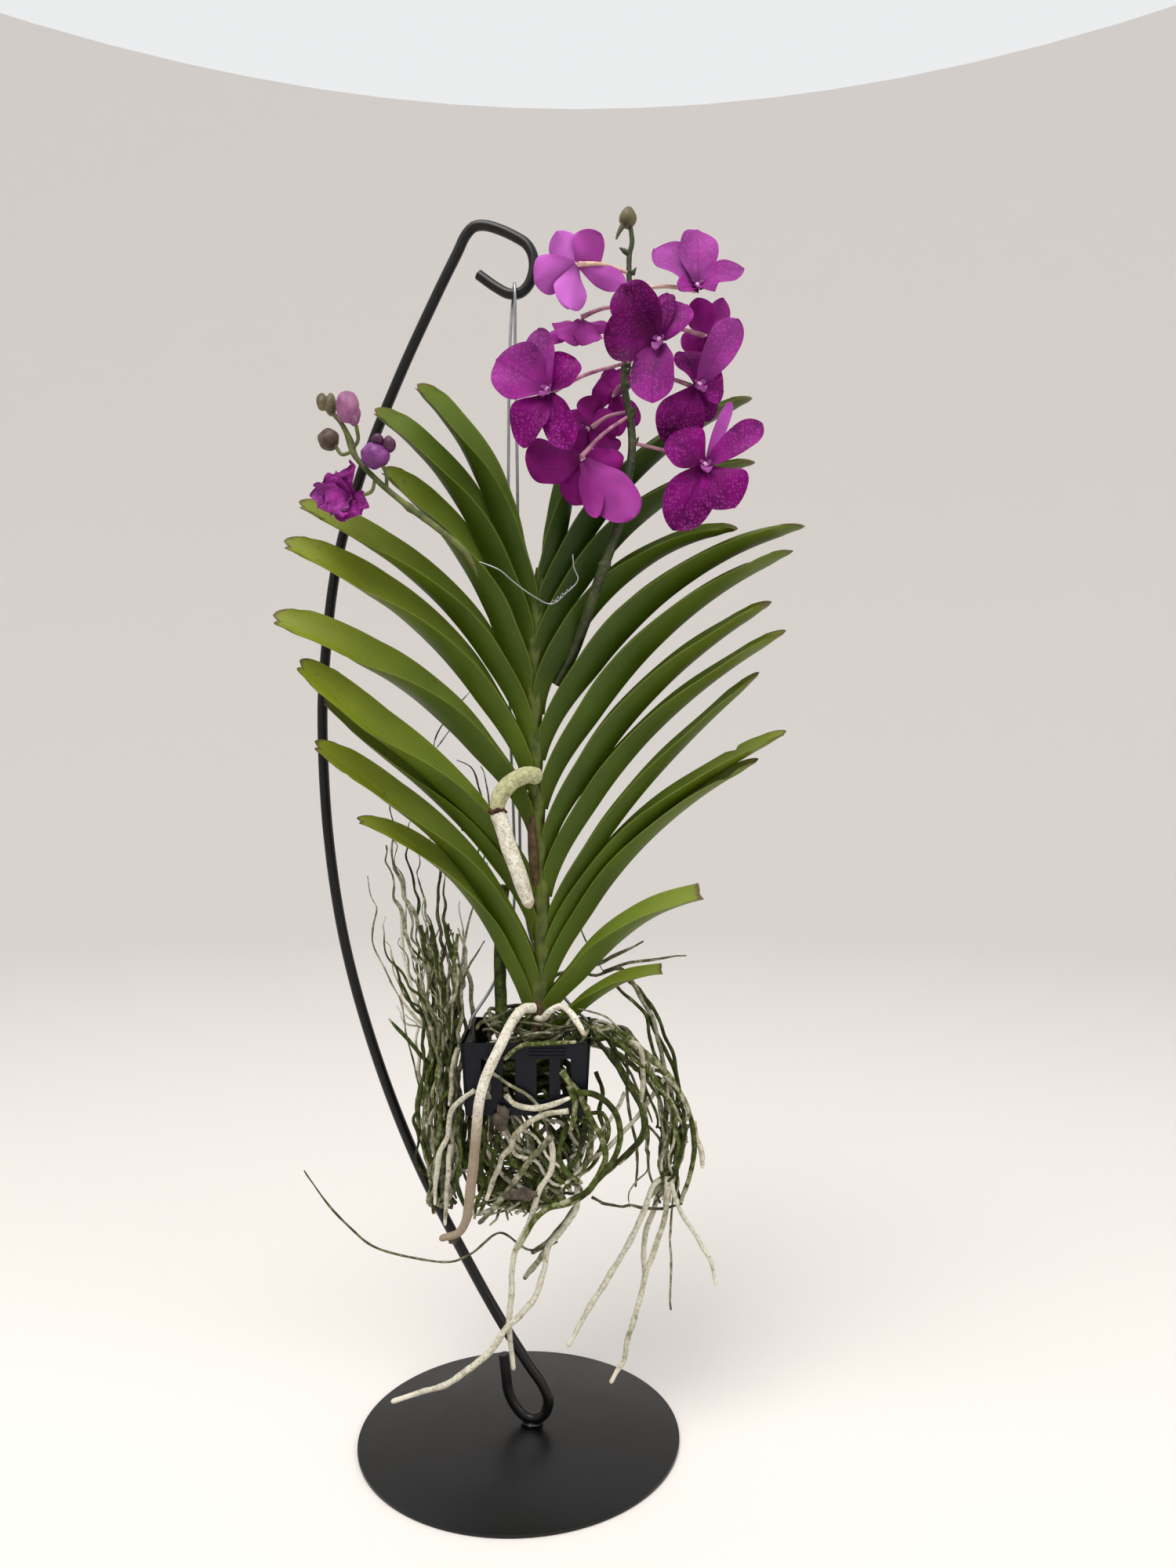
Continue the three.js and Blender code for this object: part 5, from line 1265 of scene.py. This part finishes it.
# Basket filling: the roots that first filled the basket, packed in turns against its walls and
# looped over its rim.
draw = seeded(11)
fill, rim_roots = [], []
for k in range(46):
    around = 2 * math.pi * draw()
    low = BASKET_LOW + 5 + 38 * draw()
    turn = 0.7 + 1.4 * draw()
    reach = 16 + 20 * draw()
    fill.append(wandering([
        (BASKET_X + reach * math.cos(around + turn * s), BASKET_Y + reach * math.sin(around + turn * s),
         low + 14 * s * (draw() - 0.3)) for s in range(4)], 1.7 + 1.2 * draw(), 2, 4, k))
for k in range(26):
    around = 2 * math.pi * draw()
    turn = 0.5 + 0.9 * draw()
    reach = 22 + 16 * draw()
    rim_roots.append(wandering([
        (BASKET_X + reach * math.cos(around + turn * s), BASKET_Y + reach * math.sin(around + turn * s),
         BASKET_LOW + 50 + 16 * math.sin(math.pi * s / 3) * (0.3 + draw())) for s in range(4)],
        0.9 + 0.8 * draw(), 3, 4, 50 + k))
basket_fill = grow("basket_filling", fill, green_velamen, 8, 0.9, 5, seed=3)
fit(basket_fill, "root_green", "basket_roots")
fit(grow("rim_roots", rim_roots, grey_velamen, 8, 0.7, 5, seed=15), "root_grey")

# Root ball: many roots, living and dead, that grew down through the basket's slots and wound round
# and round below it, into a loose ball that holds itself together.
draw = seeded(29)
wound = {"green": [], "white": [], "grey": []}
BALL_KNOT = (-8, -2, 182)
WOUND_ROOTS, THIN_ROOTS = 60, 40
for k in range(WOUND_ROOTS):
    around = 2 * math.pi * draw()
    wide = 36 + 16 * draw()
    drop = BASKET_LOW - 26 - 24 * draw()
    lead = 0.3 + 0.8 * draw()
    spot = lambda reach, height, turn: (BASKET_X + reach * math.cos(around + turn),
                                        BASKET_Y + 0.85 * reach * math.sin(around + turn), height)
    end = (BALL_KNOT[0] - 30 + 56 * draw(), BALL_KNOT[1] - 22 + 40 * draw(),
           BALL_KNOT[2] - 10 + 22 * draw())
    line = [spot(wide - 8, BASKET_LOW + 20 * draw(), 0), spot(wide + 2, drop + 8, lead),
            spot(wide - 6, drop - 18, 2 * lead), spot(wide - 18, 196 - 14 * draw(), 2.6 * lead), end]
    kind = ("green", "green", "grey", "green", "white")[k % 5]
    wound[kind].append(wandering(line, 1.1 + 1.0 * draw(), 7, 4, k))
# Thin dead roots in the ball's shade
for k in range(THIN_ROOTS):
    around = 2 * math.pi * draw()
    middle = (BASKET_X - 14 + 44 * (draw() - 0.5), BASKET_Y + 40 * (draw() - 0.5),
              214 + 44 * (draw() - 0.5))
    arm = (22 * math.cos(around), 16 * math.sin(around), 16 * (draw() - 0.5))
    line = [tuple(m - v for m, v in zip(middle, arm)),
            (middle[0], middle[1], middle[2] + 10 * (draw() - 0.5)),
            tuple(m + v for m, v in zip(middle, arm))]
    wound["grey"].append(wandering(line, 0.6 + 0.7 * draw(), 6, 4, 700 + k))
# Those seen one by one: line in the frame, depth of its ends, radius
BALL_WHITE = [
    ([(645, 1397), (656, 1407), (672, 1413), (691, 1413), (707, 1408), (725, 1401)], (-46, -46), 2.2),
    ([(725, 1417), (707, 1419), (688, 1425), (669, 1436), (656, 1449), (651, 1465), (640, 1476),
      (636, 1489), (627, 1508), (621, 1529)], (-48, -34), 2.2),
    ([(605, 1391), (587, 1404), (575, 1417), (572, 1436), (572, 1449), (560, 1473), (556, 1500),
      (555, 1535)], (-44, -24), 2),
    ([(575, 1460), (573, 1481), (571, 1505), (569, 1532), (568, 1561)], (-30, -26), 2),
    ([(584, 1337), (579, 1353), (576, 1372), (577, 1391), (573, 1409)], (-30, -32), 1.9),
    ([(848, 1375), (835, 1393), (821, 1412), (808, 1428), (792, 1447), (776, 1463), (755, 1479),
      (733, 1497), (717, 1513)], (0, -34), 1.8),
    ([(797, 1393), (787, 1415), (776, 1433), (760, 1449), (747, 1463), (728, 1476)], (-10, -26), 1.6),
    ([(803, 1329), (813, 1332), (819, 1345), (820, 1367), (819, 1388), (817, 1409)], (-22, -18), 2.1),
    ([(555, 1415), (548, 1428), (552, 1444), (547, 1463)], (-14, -10), 1.8),
    ([(843, 1420), (847, 1447), (845, 1473), (849, 1495), (847, 1516)], (0, 2), 1.9),
]
BALL_GREY = [
    ([(704, 1449), (691, 1463), (677, 1476), (667, 1492), (653, 1511), (640, 1527), (627, 1543),
      (612, 1559)], (-42, -30), 2.4),
    ([(625, 1367), (645, 1380), (667, 1393), (683, 1409), (691, 1423), (707, 1433)], (-44, -45), 1.3),
    ([(608, 1313), (612, 1304), (627, 1300), (640, 1295), (648, 1289)], (-36, -26), 1.4),
    ([(799, 1337), (800, 1367), (799, 1393), (803, 1420), (808, 1441), (813, 1463), (813, 1487),
      (811, 1513)], (-10, -6), 1.2),
    ([(776, 1324), (787, 1345), (803, 1367), (813, 1388), (824, 1412), (832, 1431)], (-6, -4), 1),
    ([(824, 1417), (823, 1441), (808, 1463), (792, 1479), (776, 1497), (760, 1508)], (-12, -34), 0.9),
    ([(823, 1441), (825, 1468), (825, 1492), (811, 1508), (801, 1524), (803, 1540)], (-10, -8), 0.6),
    ([(877, 1455), (861, 1465), (853, 1481), (848, 1500), (837, 1524)], (2, 0), 1.5),
    ([(827, 1436), (840, 1449), (845, 1463), (847, 1487)], (-4, 0), 1.1),
    ([(755, 1527), (773, 1535), (795, 1539), (803, 1536), (821, 1540), (845, 1541),
      (869, 1536)], (-20, 2), 1.2),
    ([(728, 1285), (749, 1289), (771, 1297), (784, 1308), (797, 1319)], (-10, -8), 0.8),
    ([(653, 1473), (669, 1460), (685, 1447), (701, 1436)], (-20, -24), 1.2),
    ([(848, 1383), (851, 1415), (848, 1447), (847, 1473), (848, 1500)], (2, 2), 1.8),
    ([(691, 1313), (707, 1300), (733, 1297), (747, 1305), (760, 1319)], (-20, -28), 1.2),
    ([(691, 1305), (712, 1311), (733, 1308), (760, 1313), (776, 1324)], (-26, -18), 1.1),
    ([(648, 1300), (659, 1313), (669, 1329), (680, 1331)], (-30, -34), 1),
]
BALL_GREEN = [
    ([(587, 1420), (584, 1447), (587, 1473), (584, 1500), (589, 1527), (597, 1548)], (-26, -20), 1.7),
    ([(616, 1436), (619, 1463), (613, 1489), (616, 1513), (608, 1535), (605, 1553)], (-34, -26), 1.7),
    ([(635, 1447), (632, 1473), (624, 1500), (619, 1527), (611, 1548)], (-30, -22), 1.7),
    ([(659, 1489), (680, 1487), (701, 1495), (717, 1508), (728, 1519)], (-26, -34), 1.9),
    ([(680, 1479), (691, 1495), (685, 1513), (693, 1529), (712, 1537), (733, 1532)], (-30, -36), 1.9),
    ([(723, 1436), (717, 1449), (712, 1473), (723, 1495), (741, 1508)], (-38, -34), 2.2),
    ([(747, 1428), (744, 1441), (741, 1460), (733, 1481), (717, 1500), (696, 1516)], (-36, -30), 1.9),
    ([(752, 1441), (755, 1468), (747, 1487), (731, 1500), (707, 1508), (685, 1524)], (-30, -26), 1.9),
    ([(752, 1420), (768, 1420), (776, 1436), (773, 1457), (760, 1473)], (-20, -24), 1.7),
    ([(760, 1367), (768, 1393), (765, 1420), (771, 1447), (760, 1479), (739, 1500)], (0, -14), 1.8),
]
for kind, rows in (("white", BALL_WHITE), ("grey", BALL_GREY), ("green", BALL_GREEN)):
    for number, (line, depth, radius) in enumerate(rows):
        wound[kind].append(wandering(seen(line, depth), radius, 1.2, 3, 80 + number, tip=0.7, knob=0.2))
ball_green = grow("ball_green_roots", wound["green"], green_velamen, 9, 1.0, 5, seed=4)
fit(ball_green, "root_green", "root_ball")
fit(grow("ball_white_roots", wound["white"], white_velamen, 9, 1.0, 5, seed=5), "root_white")
fit(grow("ball_grey_roots", wound["grey"], grey_velamen, 8, 0.9, 5, seed=6), "root_grey")
husk_skin = plant_skin("dried_husk", "#29221c", "#645a4e", 0.85, 120, 0.8)
HUSKS = [((641, 1428), -44, (6, 3, 9)), ((664, 1523), -38, (11, 4, 4)), ((578, 1580), -42, (5, 3, 4))]
for number, (spot, depth, radii) in enumerate(HUSKS):
    centre = seen([spot], depth)[0]
    husk = lumpy_ball("dried_husk_%d" % number, centre, radii, husk_skin, lump=0.7, scale=0.3, seed=number)
    fit(husk, "root_grey")

# Left curtain: the oldest roots, thin, dry and wiry. They stand up beside the basket behind the
# leaves, held by their tangled feet.
draw = seeded(5)
CURTAIN_TOPS = [
    (-103, 6, 495), (-92, 12, 488), (-78, 14, 472), (-58, 16, 450), (-46, 18, 416),
    (-98, -14, 408), (-84, -22, 392), (-72, 4, 420), (-60, 8, 398), (-50, -18, 380),
    (-92, 2, 352), (-64, -24, 352),
]
CURTAIN_ROOTS = 36
CURTAIN_LOW = 300
curtain = {"grey": [], "green": [], "white": []}
for k in range(CURTAIN_ROOTS):
    top_x, top_y, top_z = CURTAIN_TOPS[k % len(CURTAIN_TOPS)]
    aside, behind = 12 * (draw() - 0.5), 10 * (draw() - 0.5)
    shorter = 0.5 * (top_z - CURTAIN_LOW) * draw()
    top = (top_x + aside, top_y + behind, top_z - (shorter if k >= len(CURTAIN_TOPS) else 0))
    waist = -59 + 0.5 * (top_x + 72) + 12 * (draw() - 0.5)
    wave = lambda: 9 * (draw() - 0.5)
    line = [(-60 + 22 * (draw() - 0.5), -4 + 14 * (draw() - 0.5), 176 + 14 * draw()),
            (waist + wave(), 0.8 * top[1] + wave(), 222), (waist + wave(), 0.9 * top[1] + wave(), 262),
            (waist + wave(), 0.8 * top[1] + wave(), CURTAIN_LOW + 0.3 * (top[2] - CURTAIN_LOW)),
            (top[0] + 3 + wave(), top[1] + wave(), top[2] - 0.25 * (top[2] - CURTAIN_LOW)), top]
    kind = ("grey", "green", "grey", "grey", "white", "green")[k % 6]
    curtain[kind].append(wandering(line, 0.9 + 1.0 * draw(), 6, 3, 100 + k, tip=0.35, knob=0.4))
    if k % 2:
        low = Vector(line[3])
        twig = [low, low + Vector((wave(), wave(), 16)), low + Vector((2 * wave(), wave(), 40))]
        curtain["grey"].append(wandering(twig, 0.7, 2, 4, 200 + k, tip=0.4))
CURTAIN_GREEN = [
    ([(592, 1297), (573, 1313), (560, 1332), (549, 1353), (544, 1383), (539, 1409)], (4, 0), 2.2),
    ([(536, 1383), (532, 1415), (536, 1447), (547, 1473), (552, 1497)], (-4, -8), 1.9),
    ([(536, 1180), (541, 1212), (552, 1247), (560, 1287), (563, 1319), (557, 1351),
      (549, 1383)], (6, 4), 1.9),
    ([(549, 1180), (555, 1212), (560, 1249), (571, 1268), (565, 1300), (555, 1329), (552, 1367),
      (555, 1404), (560, 1447)], (0, -8), 1.8),
    ([(584, 1191), (579, 1228), (581, 1268), (573, 1308), (560, 1340), (563, 1383),
      (560, 1420)], (-6, -12), 1.6),
    ([(568, 1180), (573, 1207), (581, 1247), (576, 1287), (568, 1329), (571, 1367), (565, 1407),
      (573, 1447), (568, 1487)], (8, -4), 1.6),
]
for number, (line, depth, radius) in enumerate(CURTAIN_GREEN):
    curtain["green"].append(wandering(seen(line, depth), radius, 1.2, 3, 250 + number, tip=0.7, knob=0.2))
LONE_CURTAIN = [
    ([(537, 1390), (522, 1335), (513, 1285), (490, 1235), (475, 1200), (480, 1157), (475, 1145),
      (469, 1118)], (0, 4), 0.7, "grey"),
    ([(543, 1300), (528, 1270), (522, 1245), (514, 1215), (510, 1163)], (0, 6), 1.5, "white"),
    ([(544, 1290), (540, 1268), (541, 1256)], (0, 2), 1.1, "white"),
    ([(548, 1358), (515, 1320), (497, 1300)], (-6, -2), 1.6, "green"),
    ([(600, 1150), (617, 1035), (612, 1005), (600, 977), (583, 970)], (20, 24), 0.8, "grey"),
    ([(606, 1150), (625, 1035), (618, 990), (613, 978)], (22, 26), 0.7, "grey"),
    ([(590, 1060), (570, 1000), (553, 960), (560, 932), (580, 905), (610, 872)], (26, 30), 0.6, "grey"),
    ([(575, 1000), (551, 965), (575, 930)], (26, 28), 0.5, "grey"),
    ([(585, 1290), (590, 1220), (600, 1170), (622, 1100)], (10, 14), 0.9, "grey"),
    ([(575, 1300), (595, 1240), (618, 1200)], (4, 0), 0.9, "grey"),
]
for number, (line, depth, radius, kind) in enumerate(LONE_CURTAIN):
    curtain[kind].append(wandering(seen(line, depth), radius, 1.5, 3, 300 + number, tip=0.5))
curtain_piece = grow("curtain_grey_roots", curtain["grey"], grey_velamen, 8, 0.9, 5, seed=7)
fit(curtain_piece, "root_grey", "root_curtain_left")
fit(grow("curtain_green_roots", curtain["green"], green_velamen, 8, 0.9, 5, seed=8), "root_green")
fit(grow("curtain_white_roots", curtain["white"], white_velamen, 8, 0.8, 5, seed=16), "root_white")

# Right and front loops: living roots that arch out over the rim and through the front slots,
# then turn back to hang in a cluster or to wind under the basket.
draw = seeded(17)
LOOPS = [
    ([(780, 1340), (800, 1375), (820, 1410), (825, 1440), (810, 1465), (790, 1485)], (-16, -20), 1.9,
     "green"),
    ([(770, 1240), (790, 1235), (820, 1275), (835, 1310), (845, 1350), (855, 1390), (862, 1450),
      (858, 1520)], (18, 4), 1.8, "grey"),
    ([(700, 1290), (705, 1248), (735, 1238), (770, 1225), (820, 1201)], (10, 20), 1.6, "grey"),
    ([(700, 1290), (730, 1235), (760, 1245), (790, 1232), (840, 1222), (875, 1219)], (14, 18), 1.3, "grey"),
    ([(733, 1160), (740, 1185), (770, 1240)], (24, 18), 0.7, "grey"),
    ([(740, 1330), (790, 1345), (840, 1400), (850, 1470), (845, 1530)], (14, 2), 1.7, "white"),
]
loops = {"green": [], "grey": [], "white": []}
for number, (line, depth, radius, kind) in enumerate(LOOPS):
    loops[kind].append(wandering(seen(line, depth), radius, 1.5, 4, 400 + number))
ARCHING_GREEN = [
    ([(752, 1303), (760, 1324), (773, 1340), (787, 1361), (800, 1383), (811, 1401), (819, 1417),
      (821, 1439), (816, 1452), (803, 1468), (787, 1484), (771, 1497), (760, 1508)], (-20, -36), 1.8),
    ([(749, 1319), (760, 1312), (781, 1313), (800, 1321), (813, 1332), (821, 1340), (835, 1353),
      (851, 1369), (864, 1388), (875, 1409), (883, 1436), (885, 1460), (883, 1487), (875, 1513),
      (869, 1532)], (-8, 2), 2.1),
    ([(749, 1332), (776, 1324), (795, 1329), (811, 1337)], (-14, -6), 1.8),
    ([(800, 1249), (816, 1263), (827, 1284), (829, 1300), (840, 1324), (851, 1345), (859, 1361),
      (864, 1383), (864, 1409), (859, 1436), (853, 1457)], (20, 4), 1.7),
    ([(821, 1271), (829, 1281), (840, 1300), (848, 1321), (859, 1343), (863, 1367), (867, 1393),
      (872, 1420)], (16, 6), 1.5),
    ([(784, 1255), (797, 1268), (811, 1281), (824, 1295), (829, 1319), (835, 1345), (848, 1367),
      (856, 1393)], (18, 4), 1.4),
    ([(867, 1420), (859, 1447), (856, 1473), (853, 1495), (864, 1527)], (-4, 4), 1.4),
    ([(869, 1428), (868, 1457), (864, 1487), (864, 1513), (869, 1535)], (6, 4), 1.4),
]
for number, (line, depth, radius) in enumerate(ARCHING_GREEN):
    loops["green"].append(wandering(seen(line, depth), radius, 1, 3, 420 + number, tip=0.8))
# Roots of the cluster, drawn round the main arch with their own spread
CLUSTER_ROOTS = 14
for k in range(CLUSTER_ROOTS):
    spread = lambda size: size * (draw() - 0.5)
    bow = 8 + 24 * draw()
    line = [(44 + spread(16), spread(60), 306 + 10 * draw()),
            (58 + spread(6), spread(50), 320 + spread(8)),
            (84 + spread(14), spread(44), 304 + spread(20)),
            (94 + bow + spread(14), spread(30), 262 + spread(30)),
            (96 + bow + spread(14), spread(22), 220 + spread(24)),
            (112 + spread(20), 2 + spread(14), 186 + spread(20))]
    loops[("green", "grey", "green", "white")[k % 4]].append(
        wandering(line, 0.9 + 0.8 * draw(), 7, 4, 440 + k, tip=0.6, knob=0.3))
loops_piece = grow("loop_green_roots", loops["green"], green_velamen, 10, 0.9, 5, seed=9)
fit(loops_piece, "root_green", "root_loops_right")
fit(grow("loop_grey_roots", loops["grey"], grey_velamen, 8, 0.9, 5, seed=10), "root_grey")
fit(grow("loop_white_roots", loops["white"], white_velamen, 8, 0.9, 5, seed=12), "root_white")
FRONT_GREEN = [
    ([(717, 1367), (725, 1380), (739, 1396), (747, 1415), (757, 1433), (768, 1455), (772, 1476),
      (765, 1495), (755, 1513), (741, 1527), (723, 1535), (701, 1540), (685, 1553), (672, 1572),
      (661, 1591)], (-45, -36), 2.4),
    ([(736, 1393), (760, 1397), (776, 1407), (787, 1423), (791, 1444), (788, 1468), (776, 1489),
      (760, 1508), (749, 1521), (733, 1529), (717, 1535)], (-48, -40), 2.3),
    ([(725, 1385), (732, 1401), (733, 1415), (732, 1428), (729, 1439)], (-46, -44), 2.3),
    ([(643, 1351), (659, 1337), (669, 1332), (685, 1332), (707, 1331), (733, 1329)], (-45, -44), 1.6),
]
front_loops = [wandering(seen(line, depth), radius, 0.8, 3, 500 + number, tip=0.8)
               for number, (line, depth, radius) in enumerate(FRONT_GREEN)]
front_piece = grow("front_loop_roots", front_loops, green_velamen, 12, 0.9, 5, seed=13)
fit(front_piece, "root_green", "root_loops_front")

# Hanging roots: the youngest, grown straight down from the ball and the cluster. Dry and silvery
# white, a few with thin dead ends.
HANGING_MIDDLE = [
    ([(735, 1480), (735, 1540), (720, 1565), (700, 1590), (693, 1620), (685, 1650), (665, 1675),
      (645, 1695), (625, 1725), (600, 1745), (570, 1765), (540, 1775), (502, 1787)], (-12, -46), 2.0,
     "white"),
    ([(702, 1450), (705, 1475), (702, 1495), (690, 1515), (683, 1535), (672, 1565), (655, 1600),
      (652, 1640), (650, 1700), (655, 1745)], (-40, -26), 1.9, "white"),
    ([(735, 1540), (705, 1580), (680, 1597)], (-12, -10), 2.2, "grey"),
    ([(700, 1590), (685, 1612), (670, 1630)], (-14, -12), 1.8, "grey"),
]
HANGING_RIGHT = [
    ([(850, 1500), (835, 1510), (820, 1550), (800, 1590), (775, 1630), (750, 1670), (725, 1715)],
     (0, -20), 1.9, "white"),
    ([(848, 1490), (845, 1510), (835, 1540), (822, 1580), (822, 1635)], (4, 6), 1.8, "white"),
    ([(850, 1500), (850, 1540), (835, 1590), (825, 1620), (815, 1660), (800, 1710), (795, 1735),
      (780, 1762)], (-4, -30), 1.8, "white"),
    ([(860, 1500), (858, 1540), (855, 1600), (856, 1670)], (4, 4), 0.8, "grey"),
    ([(855, 1500), (865, 1540), (880, 1565), (895, 1590), (905, 1605), (913, 1638)], (-4, -12), 1.5,
     "white"),
    ([(885, 1430), (887, 1447), (893, 1465), (896, 1488)], (2, 0), 1.9, "white"),
]
THICKER = 1.2
for group, node_name, lines in (("middle", "root_hanging_middle", HANGING_MIDDLE),
                                ("right", "root_hanging_right", HANGING_RIGHT)):
    for kind, skin, slot in (("white", white_velamen, "root_white"), ("grey", grey_velamen, "root_grey")):
        strands = [wandering(seen(line, depth), THICKER * radius, 1.2, 3, 600 + number, tip=0.75, knob=0.16)
                   for number, (line, depth, radius, which) in enumerate(lines) if which == kind]
        hanging = grow("hanging_%s_%s_roots" % (group, kind), strands, skin, 11, 0.9, 5, seed=14)
        fit(hanging, slot, *([node_name] if kind == "white" else []))

low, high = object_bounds()
